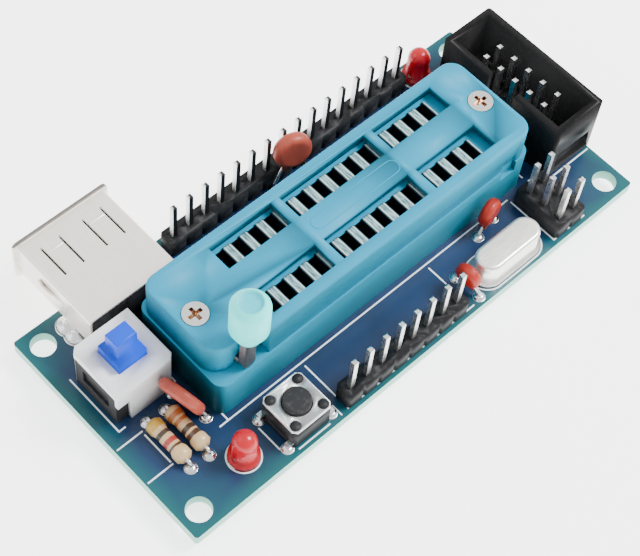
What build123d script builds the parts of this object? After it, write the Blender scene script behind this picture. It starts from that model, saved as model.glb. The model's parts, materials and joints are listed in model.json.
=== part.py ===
"""A USB programmer board for microcontrollers in DIP packages.

Board with a zero-insertion-force socket, a USB receptacle, a self-locking power
switch, a reset key, pin headers, a shrouded box header, a crystal and the few
leaded parts around them. Millimetres, +Z up. The origin is the centre of the four
board holes, on the underside of the board; +X runs from the USB end to the box
header, and +Y is the way that the USB mouth faces.
"""

from build123d import *
from math import cos, radians, sin
import os

os.makedirs("parts", exist_ok=True)

# ---------------------------------------------------------------- board
BOARD_LENGTH = 74.4
FRONT_AREA = 9.55
BACK_AREA = 8.65
BOARD_THICKNESS = 1.6
BOARD_CORNER = 0.4
HOLE_INSET = 2.55
HOLE_RADIUS = 1.6
TAIL_LENGTH = 1.4
SOLDER_HEIGHT = 1.0
SOLDER_RADIUS = 0.85
SOLDER_TIP_RADIUS = 0.48

SOCKET_WIDTH = 14.9
BOARD_WIDTH = FRONT_AREA + SOCKET_WIDTH + BACK_AREA

LEFT = -BOARD_LENGTH / 2
RIGHT = BOARD_LENGTH / 2
FRONT = -BOARD_WIDTH / 2
BACK = BOARD_WIDTH / 2
TOP = BOARD_THICKNESS
TAIL = -TAIL_LENGTH

# ---------------------------------------------------------------- pin headers
PITCH = 2.54
PIN = 0.64
PIN_POINT = 0.18
PIN_HOLE_RADIUS = 0.5
HEADER_HEIGHT = 2.54
HEADER_NOTCH = 0.5
PIN_RISE = 6.0
FRONT_HEADER = (LEFT + 25.2, FRONT + 1.8)
FRONT_HEADER_PINS = 8
BACK_HEADER = (LEFT + 23.3, BACK - 1.95)
BACK_HEADER_PINS = 16
SIX_PIN_HEADER = (RIGHT - 12.8, FRONT + 1.85)

BOX_HEADER = (RIGHT - 5.1, FRONT + 12.9)
BOX_HEADER_ROWS = 5
BOX_WIDTH = 8.5
BOX_LENGTH = 20.2
BOX_HEIGHT = 9.1
BOX_WALL = 1.05
BOX_FLOOR = 2.2
BOX_KEY_WIDTH = 4.5
BOX_PIN_TOP = TOP + 8.3
BOX_RECESS = (6.1, 2.6)
BOX_RECESS_DEPTH = 0.45

# ---------------------------------------------------------------- socket
SOCKET_CENTRE = (LEFT + 37.75, FRONT + FRONT_AREA + SOCKET_WIDTH / 2)
SOCKET_LENGTH = 51.8
SOCKET_CORNER = 1.6
SOCKET_STEP = 0.25
LEDGE = TOP + 6.7
DECK = TOP + 9.9
COVER_TOP = TOP + 11.6
COVER_ROOF = 1.1
COVER_WALL = 1.2
CONTACTS = 14
ROW_SPACING = 7.62
FIRST_CONTACT = SOCKET_CENTRE[0] - 15.33
CONTACT_WIDTH = 2.5
BAR_LENGTH = 3.0
POCKET_WIDTH = 2.0
POCKET_DEPTH = 2.8
SOCKET_FLOOR = 1.0
CHANNEL_WIDTH = 3.4
CHANNEL_FLOOR = TOP + 2.4
SPRING_SHEET = 0.3
LEAF_GAP = 1.3
BAR_RISE = 0.35
TAIL_WIDTH = 0.6
WINDOW_WIDTH = 3.7
WINDOW_LEAD = 1.15
WINDOW_TRAIL = 2.35
WINDOW_RIB = 1.2
WINDOW_GROUPS = (4, 6, 4)

LEVER_X = SOCKET_CENTRE[0] - 21.35
LEVER_Y = SOCKET_CENTRE[1] - 6.7
LEVER_PIVOT = LEDGE + 1.0
LEVER_THICKNESS = 1.0
LEVER_WIDTH = 1.7
LEVER_LENGTH = 10.8
LEVER_NOTCH_WALL = 1.1
LEVER_NOTCH_END = 3.0
LEVER_NOTCH_CORNER = 2.6
COVER_EDGE = 0.35
RECESS = (2.6, 3.4)
RECESS_DEPTH = 0.35
RECESS_INSET = 4.1
AXLE_RADIUS = 1.0
AXLE_END = 4.8
RUNNING_GAP = 0.05
CAM_RADIUS = 1.1
CAM_THROW = 0.8
CAM_GAP = 0.25
TOOTH = (0.3, 3.0)
TOOTH_REACH = 3.1
SLIDER_HEAD = (1.4, 3.0)
SLIDER_BAR = (2.6, 3.4)
SLIDER_LIFT = 0.2
TOOTH_GAP = 0.25
KNOB_RADIUS = 2.35
KNOB_NECK = 1.5
KNOB_START = 5.55
KNOB_LENGTH = 7.4
KNOB_TAPER = 2.0
KNOB_CROWN = (0.85, 1.1)
KNOB_DISH = 0.35
SCREW_INSET = 2.35
SCREW_HEAD = 1.6
SCREW_SHANK = 0.7
SCREW_LENGTH = 8.4
SCREW_HEAD_HEIGHT = 0.85
SCREW_RECESS = (1.9, 0.5)

# ---------------------------------------------------------------- usb receptacle
USB_CENTRE = LEFT + 12.8
USB_REAR = BACK - 7.2
USB_WIDTH = 13.1
USB_DEPTH = 13.6
USB_TOP = TOP + 7.0
USB_HEIGHT = 5.7
USB_SHEET = 0.3
USB_LIP = 0.55
USB_TONGUE = 1.84
USB_TAB_BACK = 3.95
USB_PIN_BACK = 1.2
USB_BLOCK_REAR = 0.6
USB_BLOCK_DEPTH = 4.6
USB_SLOT = (0.3, 4.8)
USB_PINS = (-3.5, -1.0, 1.0, 3.5)
USB_SPRINGS = (3.1, 1.35, 9.3)
USB_TONGUE_WIDTH = 11.1
USB_TONGUE_LENGTH = 7.9
USB_CONTACT_WIDTH = 1.0
USB_CONTACT_SHEET = 0.25
TAB = (USB_SHEET, 1.6)
TAB_HOLE_RADIUS = 1.05
TAB_SOLDER_RADIUS = 1.5

# ---------------------------------------------------------------- power switch
SWITCH_CENTRE = (LEFT + 6.65, FRONT + 20.55)
SWITCH_SIZE = 8.5
SWITCH_HEIGHT = 7.0
SWITCH_SHEET = 0.6
SWITCH_SKIRT = 1.1
SWITCH_SPRING_WIRE = 0.3
SWITCH_SPRING_RADIUS = 1.2
SWITCH_SPRING_TURNS = 5
SWITCH_FLANGE = 1.2
SWITCH_WELL_DEPTH = 1.6
SWITCH_FLOOR = 1.3
PLUNGER_SIZE = (4.0, 3.8)
KEY_SIZE = (2.9, 2.1)
KEY_RISE = 3.0
PLUNGER_RISE = 1.3
SWITCH_LEG_PITCH = (5.0, 2.5)

# ---------------------------------------------------------------- reset key
RESET_CENTRE = (LEFT + 18.6, FRONT + 4.0)
RESET_SIZE = 6.0
RESET_BASE = 3.3
RESET_PLATE = 0.3
RESET_BUTTON_RADIUS = 1.75
RESET_RISE = 0.8
RESET_WELL_FLOOR = 1.6
RESET_WELL_RADIUS = 2.25
RESET_FLANGE_RADIUS = 2.1
RESET_RIVET_PITCH = 4.35
RESET_RIVET_RADIUS = 0.65
RESET_LEG_REACH = RESET_SIZE / 2 + 0.45
RESET_LEG_PITCH = 4.9

# ---------------------------------------------------------------- leaded parts
WIRE = 0.5
WIRE_HOLE_RADIUS = 0.42
RESISTOR_PITCH = 7.7
RESISTOR_LENGTH = 6.3
RESISTOR_RADIUS = 1.1
RESISTORS = {"left": (LEFT + 5.2, FRONT + 10.85), "right": (LEFT + 7.85, FRONT + 10.7)}
LAMP_RADIUS = 1.5
LAMP_FLANGE = 1.95
LAMP_HEIGHT = 5.3
LAMP_FLANGE_HEIGHT = 0.9
LAMP_FRAME = (0.6, 1.1, 3.0)
LAMP_FRAME_GAP = 0.3
LAMP_FRAME_SHEET = 0.5
LAMP_POST_REACH = 0.95
LAMPS = {"front": (LEFT + 10.7, FRONT + 4.1), "back": (RIGHT - 9.2, BACK - 2.5)}
CRYSTAL_CENTRE = (LEFT + 53.3, FRONT + 3.05)
CRYSTAL_SIZE = (10.2, 3.8)
CRYSTAL_HEIGHT = 3.5
CRYSTAL_RIM = 0.45
CRYSTAL_PITCH = 4.88
CRYSTAL_LIFT = 0.1
CRYSTAL_SHEET = 0.3
CRYSTAL_FLANGE = (1.0, 0.9)
CRYSTAL_BASE = 0.8


def row(start, count, step=PITCH):
    """Places of a line of pins along X."""
    return [(start[0] + step * i, start[1]) for i in range(count)]


def block(start, columns, rows):
    """Places of a grid of pins."""
    return [(start[0] + PITCH * i, start[1] + PITCH * j) for i in range(columns) for j in range(rows)]


def middle(places):
    """Centre of a group of places."""
    xs = [x for x, _ in places]
    ys = [y for _, y in places]
    return ((min(xs) + max(xs)) / 2, (min(ys) + max(ys)) / 2)


front_header_places = row(FRONT_HEADER, FRONT_HEADER_PINS)
back_header_places = row(BACK_HEADER, BACK_HEADER_PINS)
six_pin_places = block(SIX_PIN_HEADER, 2, 3)
box_header_places = block(BOX_HEADER, 2, BOX_HEADER_ROWS)
square_pin_places = front_header_places + back_header_places + six_pin_places + box_header_places

socket_rows = [SOCKET_CENTRE[1] - ROW_SPACING / 2, SOCKET_CENTRE[1] + ROW_SPACING / 2]
contact_xs = [FIRST_CONTACT + PITCH * i for i in range(CONTACTS)]
contact_places = [(x, y) for y in socket_rows for x in contact_xs]

usb_pin_places = [(USB_CENTRE + x, USB_REAR + USB_PIN_BACK) for x in USB_PINS]
usb_side = (USB_WIDTH - USB_SHEET) / 2
usb_tab_places = [(USB_CENTRE + s * usb_side, USB_REAR + USB_TAB_BACK) for s in (-1, 1)]
switch_legs = GridLocations(*SWITCH_LEG_PITCH, 2, 3)
switch_leg_places = [
    (SWITCH_CENTRE[0] + leg.position.X, SWITCH_CENTRE[1] + leg.position.Y) for leg in switch_legs
]
reset_leg_places = [
    (RESET_CENTRE[0] + sx * RESET_LEG_REACH, RESET_CENTRE[1] + sy * RESET_LEG_PITCH / 2)
    for sx in (-1, 1)
    for sy in (-1, 1)
]
resistor_wire_places = [
    (x, y + s * RESISTOR_PITCH / 2) for x, y in RESISTORS.values() for s in (-1, 1)
]
lamp_wire_places = [(x + s * PITCH / 2, y) for x, y in LAMPS.values() for s in (-1, 1)]
crystal_wire_places = [(CRYSTAL_CENTRE[0] + s * CRYSTAL_PITCH / 2, CRYSTAL_CENTRE[1]) for s in (-1, 1)]

# Each disc capacitor: place, height of its centre over the board, diameter, thickness,
# spacing of its leads, the turn of its flat face about Z and its lean off upright.
CAPACITORS = {
    "power": ((LEFT + 10.3, FRONT + 13.25), 4.45, 6.2, 1.5, 5.08, 100.0, 20.0),
    "socket": ((LEFT + 40.73, FRONT + 28.52), 6.5, 5.1, 2.0, 5.08, -18.0, 8.0),
    "crystal_left": ((LEFT + 46.7, FRONT + 3.05), 3.3, 3.5, 1.6, 3.8, 94.0, 10.0),
    "crystal_right": ((LEFT + 54.8, FRONT + 7.7), 3.5, 3.8, 1.6, 3.6, 12.0, 0.0),
}
BEND_SHARE = 0.35


def capacitor_wires(name):
    """Places where one capacitor's two leads pass the board."""
    (x, y), _, _, _, pitch, turn, _ = CAPACITORS[name]
    dx, dy = cos(radians(turn)) * pitch / 2, sin(radians(turn)) * pitch / 2
    return [(x - dx, y - dy), (x + dx, y + dy)]


capacitor_wire_places = [place for name in CAPACITORS for place in capacitor_wires(name)]
round_wire_places = (
    resistor_wire_places + lamp_wire_places + crystal_wire_places + capacitor_wire_places
)
hole_spacing = (BOARD_LENGTH - 2 * HOLE_INSET, BOARD_WIDTH - 2 * HOLE_INSET)
LEG = (0.7, 0.4)
LEG_HOLE_RADIUS = 0.55
CONTACT_HOLE_RADIUS = 0.45


# ================================================================ board and solder
with BuildPart() as circuit_board:
    with BuildSketch():
        RectangleRounded(BOARD_LENGTH, BOARD_WIDTH, BOARD_CORNER)
        with GridLocations(*hole_spacing, 2, 2):
            Circle(HOLE_RADIUS, mode=Mode.SUBTRACT)
        with Locations(*square_pin_places):
            Circle(PIN_HOLE_RADIUS, mode=Mode.SUBTRACT)
        with Locations(*contact_places, *usb_pin_places):
            Circle(CONTACT_HOLE_RADIUS, mode=Mode.SUBTRACT)
        with Locations(*switch_leg_places, *reset_leg_places):
            Circle(LEG_HOLE_RADIUS, mode=Mode.SUBTRACT)
        with Locations(*round_wire_places):
            Circle(WIRE_HOLE_RADIUS, mode=Mode.SUBTRACT)
        with Locations(*usb_tab_places):
            Circle(TAB_HOLE_RADIUS, mode=Mode.SUBTRACT)
    extrude(amount=BOARD_THICKNESS)
circuit_board.part.label = "circuit_board"
export_step(circuit_board.part, "parts/circuit_board.step")


def solder_fillets(places, radius, cut):
    """Cones of solder under the board, each with a hole the shape of its lead."""
    with BuildPart() as fillets:
        with Locations(*[(x, y, 0) for x, y in places]):
            Cone(
                SOLDER_TIP_RADIUS * radius / SOLDER_RADIUS,
                radius,
                SOLDER_HEIGHT,
                align=(Align.CENTER, Align.CENTER, Align.MAX),
            )
        with BuildSketch(Plane.XY.offset(-SOLDER_HEIGHT)):
            with Locations(*places):
                add(cut)
        extrude(amount=SOLDER_HEIGHT, mode=Mode.SUBTRACT)
    return fillets.part


square_cut = Rectangle(PIN, PIN).face()
contact_cut = Rectangle(TAIL_WIDTH, SPRING_SHEET).face()
leg_cut = Rectangle(*LEG).face()
turned_leg_cut = Rectangle(LEG[1], LEG[0]).face()
wire_cut = Circle(WIRE / 2).face()
tab_cut = Rectangle(*TAB).face()

header_solder = solder_fillets(square_pin_places, SOLDER_RADIUS, square_cut)
header_solder.label = "header_solder_joints"
export_step(header_solder, "parts/header_solder_joints.step")

socket_solder = solder_fillets(contact_places, SOLDER_RADIUS, contact_cut)
socket_solder.label = "socket_solder_joints"
export_step(socket_solder, "parts/socket_solder_joints.step")

wire_solder = solder_fillets(round_wire_places, SOLDER_RADIUS, wire_cut)
wire_solder.label = "wire_solder_joints"
export_step(wire_solder, "parts/wire_solder_joints.step")

with BuildPart() as terminal_solder:
    add(solder_fillets(usb_pin_places, SOLDER_RADIUS, contact_cut))
    add(solder_fillets(switch_leg_places, SOLDER_RADIUS, leg_cut))
    add(solder_fillets(reset_leg_places, SOLDER_RADIUS, turned_leg_cut))
    add(solder_fillets(usb_tab_places, TAB_SOLDER_RADIUS, tab_cut))
terminal_solder.part.label = "terminal_solder_joints"
export_step(terminal_solder.part, "parts/terminal_solder_joints.step")


# ================================================================ pin headers
def header_strip(places, columns, rows):
    """Black strip under a header, nipped between its pins, with a square hole for each."""
    centre = middle(places)
    length, width = columns * PITCH, rows * PITCH
    edge = centre[0] - length / 2
    seams = [(edge + PITCH * i, centre[1] + s * width / 2) for i in range(columns + 1) for s in (-1, 1)]
    with BuildPart() as strip:
        with BuildSketch(Plane.XY.offset(TOP)):
            with Locations(centre):
                Rectangle(length, width)
            with Locations(*seams):
                Rectangle(HEADER_NOTCH, HEADER_NOTCH, rotation=45, mode=Mode.SUBTRACT)
            with Locations(*places):
                Rectangle(PIN, PIN, mode=Mode.SUBTRACT)
        extrude(amount=HEADER_HEIGHT)
    return strip.part


def header_pins(places, top):
    """Square pins with pointed ends, from the tails to a given height."""
    with BuildPart() as pins:
        with BuildSketch(Plane.XY.offset(TAIL)):
            with Locations(*places):
                Rectangle(PIN, PIN)
        extrude(amount=top - TAIL)
        chamfer(pins.faces().group_by(Axis.Z)[-1].edges(), PIN_POINT)
    return pins.part


headers = {
    "front_header": (front_header_places, FRONT_HEADER_PINS, 1),
    "back_header": (back_header_places, BACK_HEADER_PINS, 1),
    "six_pin_header": (six_pin_places, 2, 3),
}
for header, (places, columns, rows) in headers.items():
    strip = header_strip(places, columns, rows)
    strip.label = f"{header}_strip"
    export_step(strip, f"parts/{header}_strip.step")
    pins = header_pins(places, TOP + HEADER_HEIGHT + PIN_RISE)
    pins.label = f"{header}_pins"
    export_step(pins, f"parts/{header}_pins.step")

box_centre = middle(box_header_places)
with BuildPart() as box_header_shroud:
    with BuildSketch(Plane.XY.offset(TOP)):
        with Locations(box_centre):
            Rectangle(BOX_WIDTH, BOX_LENGTH)
    extrude(amount=BOX_HEIGHT)
    fillet(box_header_shroud.edges().filter_by(Axis.Z), 0.4)
    with BuildSketch(Plane.XY.offset(TOP + BOX_FLOOR)):
        with Locations(box_centre):
            Rectangle(BOX_WIDTH - 2 * BOX_WALL, BOX_LENGTH - 2 * BOX_WALL)
    extrude(amount=BOX_HEIGHT, mode=Mode.SUBTRACT)
    with BuildSketch(Plane.XY.offset(TOP + BOX_FLOOR)):
        with Locations((box_centre[0] - BOX_WIDTH / 2, box_centre[1])):
            Rectangle(BOX_WALL * 2.5, BOX_KEY_WIDTH)
    extrude(amount=BOX_HEIGHT, mode=Mode.SUBTRACT)
    with BuildSketch(Plane.XY.offset(TOP)):
        with Locations(*box_header_places):
            Rectangle(PIN, PIN)
    extrude(amount=BOX_FLOOR, mode=Mode.SUBTRACT)
    for end in (-1, 1):
        with BuildSketch(Plane.XZ.offset(-box_centre[1] + end * BOX_LENGTH / 2)):
            with Locations((box_centre[0], TOP + BOX_RECESS[1])):
                Rectangle(*BOX_RECESS)
        extrude(amount=-end * BOX_RECESS_DEPTH, mode=Mode.SUBTRACT)
box_header_shroud.part.label = "box_header_shroud"
export_step(box_header_shroud.part, "parts/box_header_shroud.step")

box_pins = header_pins(box_header_places, BOX_PIN_TOP)
box_pins.label = "box_header_pins"
export_step(box_pins, "parts/box_header_pins.step")


# ================================================================ socket
socket_left = SOCKET_CENTRE[0] - SOCKET_LENGTH / 2
socket_right = SOCKET_CENTRE[0] + SOCKET_LENGTH / 2
cover_size = (SOCKET_LENGTH - 2 * SOCKET_STEP, SOCKET_WIDTH - 2 * SOCKET_STEP)
cover_left = socket_left + SOCKET_STEP
cover_front = SOCKET_CENTRE[1] - SOCKET_WIDTH / 2 + SOCKET_STEP
lever_notch_end = LEVER_X + LEVER_NOTCH_END
lever_notch_back = LEVER_Y + LEVER_THICKNESS / 2 + 0.5
cavity_start = LEVER_X - AXLE_RADIUS - 0.15
cavity_step = lever_notch_end + 1.2
carrier_start = cavity_step + 0.2
carrier_end = contact_xs[-1] + WINDOW_TRAIL + 1.2
carrier_half = SOCKET_WIDTH / 2 - SOCKET_STEP - COVER_WALL - 0.15
head_start = LEVER_X + CAM_RADIUS + CAM_GAP
slider_bottom = CHANNEL_FLOOR + SLIDER_LIFT
screw_places = [
    (cover_left + SCREW_INSET, SOCKET_CENTRE[1]),
    (socket_right - SOCKET_STEP - SCREW_INSET, SOCKET_CENTRE[1]),
]


def span(x0, x1, y0, y1):
    """A rectangle between two corners, in a sketch."""
    with Locations(((x0 + x1) / 2, (y0 + y1) / 2)):
        return Rectangle(x1 - x0, y1 - y0)


axle_front = LEVER_Y - LEVER_THICKNESS / 2
axle_back = SOCKET_CENTRE[1] + AXLE_END
axle_plane = Plane(origin=(LEVER_X, axle_front, LEVER_PIVOT), x_dir=(1, 0, 0), z_dir=(0, 1, 0))

with BuildPart() as socket_base:
    with BuildSketch(Plane.XY.offset(TOP)):
        with Locations(SOCKET_CENTRE):
            RectangleRounded(SOCKET_LENGTH, SOCKET_WIDTH, SOCKET_CORNER)
    extrude(amount=LEDGE - TOP)
    with BuildSketch(Plane.XY.offset(LEDGE)):
        span(carrier_start, carrier_end, SOCKET_CENTRE[1] - carrier_half, SOCKET_CENTRE[1] + carrier_half)
    extrude(amount=DECK - LEDGE)
    with BuildSketch(Plane.XY.offset(TOP + SOCKET_FLOOR)):
        with Locations(*contact_places):
            Rectangle(POCKET_WIDTH, POCKET_DEPTH)
    extrude(amount=DECK - TOP, mode=Mode.SUBTRACT)
    with BuildSketch(Plane.XY.offset(TOP)):
        with Locations(*contact_places):
            Rectangle(TAIL_WIDTH + 0.1, SPRING_SHEET + 0.1)
    extrude(amount=SOCKET_FLOOR, mode=Mode.SUBTRACT)
    with BuildSketch(Plane.XY.offset(CHANNEL_FLOOR)):
        span(
            cavity_start,
            contact_xs[-1] + 1.2,
            SOCKET_CENTRE[1] - CHANNEL_WIDTH / 2,
            SOCKET_CENTRE[1] + CHANNEL_WIDTH / 2,
        )
    extrude(amount=DECK, mode=Mode.SUBTRACT)
    with BuildSketch(Plane.XY.offset(CHANNEL_FLOOR)):
        for x in contact_xs:
            span(x - 0.8, x + 0.8, socket_rows[0], socket_rows[1])
    extrude(amount=DECK - CHANNEL_FLOOR - 1.6, mode=Mode.SUBTRACT)
    with BuildSketch(axle_plane):
        Circle(AXLE_RADIUS + RUNNING_GAP)
    extrude(amount=axle_back - axle_front, mode=Mode.SUBTRACT)
    with Locations(*[(x, y, LEDGE) for x, y in screw_places]):
        Hole(SCREW_SHANK + 0.02, LEDGE - TOP - 1.2)
    with BuildSketch(Plane.XZ.offset(-cover_front)):
        with Locations((socket_right - RECESS_INSET, LEDGE)):
            Rectangle(*RECESS)
    extrude(amount=SOCKET_STEP, mode=Mode.SUBTRACT)
    with BuildSketch(Plane.XZ.offset(-cover_front)):
        with Locations((socket_right - RECESS_INSET, LEDGE)):
            Rectangle(*RECESS)
    extrude(amount=-RECESS_DEPTH, mode=Mode.SUBTRACT)
socket_base.part.label = "socket_base"
export_step(socket_base.part, "parts/socket_base.step")

window_starts = []
slot = 0
for group, count in enumerate(WINDOW_GROUPS):
    first, last = contact_xs[slot], contact_xs[slot + count - 1]
    start = first - WINDOW_LEAD if group == 0 else first - PITCH / 2 + 0.35 + WINDOW_RIB / 2
    end = last + WINDOW_TRAIL if group == len(WINDOW_GROUPS) - 1 else last + PITCH / 2 + 0.35 - WINDOW_RIB / 2
    window_starts.append((start, end))
    slot += count

with BuildPart() as socket_cover:
    with BuildSketch(Plane.XY.offset(LEDGE)):
        with Locations(SOCKET_CENTRE):
            RectangleRounded(cover_size[0], cover_size[1], SOCKET_CORNER + 0.5)
    extrude(amount=COVER_TOP - LEDGE)
    with BuildSketch(Plane.XY.offset(LEDGE)):
        span(socket_left - 1, lever_notch_end, cover_front - 2, lever_notch_back)
    extrude(amount=COVER_TOP, mode=Mode.SUBTRACT)
    upright_edges = socket_cover.edges().filter_by(Axis.Z)
    notch_corner = upright_edges.sort_by_distance((cover_left, lever_notch_back, LEDGE))[0]
    fillet(notch_corner, LEVER_NOTCH_CORNER)
    fillet(socket_cover.faces().sort_by(Axis.Z)[-1].edges(), COVER_EDGE)
    with BuildSketch(Plane.XY.offset(LEDGE)):
        span(
            cavity_step,
            carrier_end + 0.15,
            cover_front + COVER_WALL,
            2 * SOCKET_CENTRE[1] - cover_front - COVER_WALL,
        )
        span(
            cavity_start,
            cavity_step,
            lever_notch_back + LEVER_NOTCH_WALL,
            2 * SOCKET_CENTRE[1] - cover_front - COVER_WALL,
        )
    extrude(amount=COVER_TOP - COVER_ROOF - LEDGE, mode=Mode.SUBTRACT)
    with BuildSketch(Plane.XZ.offset(-cover_front)):
        with Locations((socket_right - RECESS_INSET, LEDGE)):
            Rectangle(*RECESS)
    extrude(amount=-RECESS_DEPTH, mode=Mode.SUBTRACT)
    with BuildSketch(axle_plane):
        Circle(AXLE_RADIUS + RUNNING_GAP)
        with Locations((0, AXLE_RADIUS)):
            Rectangle(2 * (AXLE_RADIUS + RUNNING_GAP), 2 * AXLE_RADIUS)
    extrude(amount=axle_back - axle_front, mode=Mode.SUBTRACT)
    with BuildSketch(Plane.XY.offset(LEVER_PIVOT + AXLE_RADIUS + RUNNING_GAP)):
        span(cavity_start, LEVER_X + 2.0, SOCKET_CENTRE[1] + 3.4, axle_back - 0.2)
    extrude(amount=COVER_TOP - COVER_ROOF - LEVER_PIVOT - AXLE_RADIUS - RUNNING_GAP)
    with BuildSketch(Plane.XY.offset(LEDGE)):
        for y in socket_rows:
            for start, end in window_starts:
                span(start, end, y - WINDOW_WIDTH / 2, y + WINDOW_WIDTH / 2)
    extrude(amount=COVER_TOP, mode=Mode.SUBTRACT)
    with Locations(*[(x, y, COVER_TOP) for x, y in screw_places]):
        CounterBoreHole(SCREW_SHANK + 0.05, SCREW_HEAD + 0.1, SCREW_HEAD_HEIGHT, COVER_TOP - LEDGE)
socket_cover.part.label = "socket_cover"
export_step(socket_cover.part, "parts/socket_cover.step")


def socket_contact(place, bar):
    """One U-shaped spring contact, with a bar folded out over the rib beside it."""
    x, y = place
    floor = TOP + SOCKET_FLOOR
    half = LEAF_GAP / 2
    side = Plane(origin=(x, y, 0), x_dir=(1, 0, 0), z_dir=(0, -1, 0))
    with BuildPart() as contact:
        with BuildSketch(side):
            span(-half - SPRING_SHEET, half + SPRING_SHEET, floor, floor + SPRING_SHEET)
            span(-half - SPRING_SHEET, -half, floor, DECK - 0.6)
            span(half, half + SPRING_SHEET, floor, DECK + BAR_RISE)
        extrude(amount=CONTACT_WIDTH / 2, both=True)
        with BuildSketch(side):
            span(half, half + bar, DECK, DECK + BAR_RISE)
        extrude(amount=BAR_LENGTH / 2, both=True)
        with BuildSketch(Plane.XY.offset(TAIL)):
            with Locations(place):
                Rectangle(TAIL_WIDTH, SPRING_SHEET)
        extrude(amount=floor - TAIL + SPRING_SHEET / 2)
        top = contact.faces().sort_by(Axis.Z)[-1]
        fillet(top.edges().sort_by(Axis.Y)[-1], 0.3)
    return contact.part


bar_width = PITCH - LEAF_GAP
contact_solids = [
    socket_contact(place, SPRING_SHEET if place[0] == contact_xs[-1] else bar_width)
    for place in contact_places
]
socket_contacts = Compound(label="socket_contacts", children=contact_solids)
export_step(socket_contacts, "parts/socket_contacts.step")

with BuildPart() as socket_slider:
    with BuildSketch(Plane.XY.offset(slider_bottom)):
        with Locations((head_start + SLIDER_HEAD[0] / 2, SOCKET_CENTRE[1])):
            Rectangle(*SLIDER_HEAD)
    extrude(amount=LEVER_PIVOT + CAM_RADIUS + 0.1 - slider_bottom)
    with BuildSketch(Plane.XY.offset(slider_bottom)):
        span(
            head_start,
            contact_xs[-1] - TOOTH_GAP,
            SOCKET_CENTRE[1] - SLIDER_BAR[0] / 2,
            SOCKET_CENTRE[1] + SLIDER_BAR[0] / 2,
        )
    extrude(amount=SLIDER_BAR[1])
    with BuildSketch(Plane.XY.offset(slider_bottom + SLIDER_LIFT)):
        for x in contact_xs:
            with Locations((x - TOOTH_GAP - TOOTH[0] / 2, SOCKET_CENTRE[1])):
                Rectangle(TOOTH[0], 2 * TOOTH_REACH)
    extrude(amount=TOOTH[1])
socket_slider.part.label = "socket_slider"
export_step(socket_slider.part, "parts/socket_slider.step")

with BuildPart() as socket_lever:
    with BuildSketch(axle_plane):
        Circle(AXLE_RADIUS - 0.15)
        with Locations((0, -LEVER_LENGTH / 2)):
            Rectangle(LEVER_WIDTH, LEVER_LENGTH)
    extrude(amount=LEVER_THICKNESS)
    with BuildSketch(axle_plane.offset(LEVER_THICKNESS)):
        Circle(AXLE_RADIUS)
    extrude(amount=axle_back - axle_front - LEVER_THICKNESS)
    with BuildSketch(axle_plane.offset(SOCKET_CENTRE[1] - axle_front - 1.2)):
        with Locations((0, CAM_THROW)):
            Circle(CAM_RADIUS)
    extrude(amount=2.4)
socket_lever.part.label = "socket_lever"
export_step(socket_lever.part, "parts/socket_lever.step")

knob_bottom = LEVER_PIVOT + KNOB_START
knob_top = knob_bottom + KNOB_LENGTH
with BuildPart() as lever_knob:
    with BuildSketch(Plane(origin=(LEVER_X, LEVER_Y, 0), x_dir=(1, 0, 0), z_dir=(0, -1, 0))):
        with BuildLine():
            Polyline(
                (0, knob_bottom),
                (KNOB_NECK, knob_bottom),
                (KNOB_RADIUS, knob_bottom + KNOB_TAPER),
                (KNOB_RADIUS, knob_top - KNOB_CROWN[1]),
                (KNOB_RADIUS - KNOB_CROWN[0], knob_top),
                (KNOB_RADIUS - KNOB_CROWN[0] - 0.2, knob_top - KNOB_DISH),
                (0, knob_top - KNOB_DISH - 0.1),
                (0, knob_bottom),
            )
        make_face()
    revolve(axis=Axis((LEVER_X, LEVER_Y, 0), (0, 0, 1)))
    with BuildSketch(Plane.XY.offset(knob_bottom)):
        with Locations((LEVER_X, LEVER_Y)):
            Rectangle(LEVER_WIDTH, LEVER_THICKNESS)
    extrude(amount=LEVER_PIVOT + LEVER_LENGTH - knob_bottom, mode=Mode.SUBTRACT)
lever_knob.part.label = "lever_knob"
export_step(lever_knob.part, "parts/lever_knob.step")

with BuildPart() as cover_screws:
    with Locations(*[(x, y, COVER_TOP - SCREW_HEAD_HEIGHT) for x, y in screw_places]):
        Cylinder(SCREW_HEAD, SCREW_HEAD_HEIGHT, align=(Align.CENTER, Align.CENTER, Align.MIN))
    with Locations(*[(x, y, COVER_TOP - SCREW_HEAD_HEIGHT) for x, y in screw_places]):
        Cylinder(SCREW_SHANK, SCREW_LENGTH, align=(Align.CENTER, Align.CENTER, Align.MAX))
    with BuildSketch(Plane.XY.offset(COVER_TOP)):
        with Locations(*screw_places):
            Rectangle(*SCREW_RECESS)
            Rectangle(*SCREW_RECESS[::-1])
    extrude(amount=-SCREW_RECESS[1], mode=Mode.SUBTRACT)
cover_screws.part.label = "cover_screws"
export_step(cover_screws.part, "parts/cover_screws.step")


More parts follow.
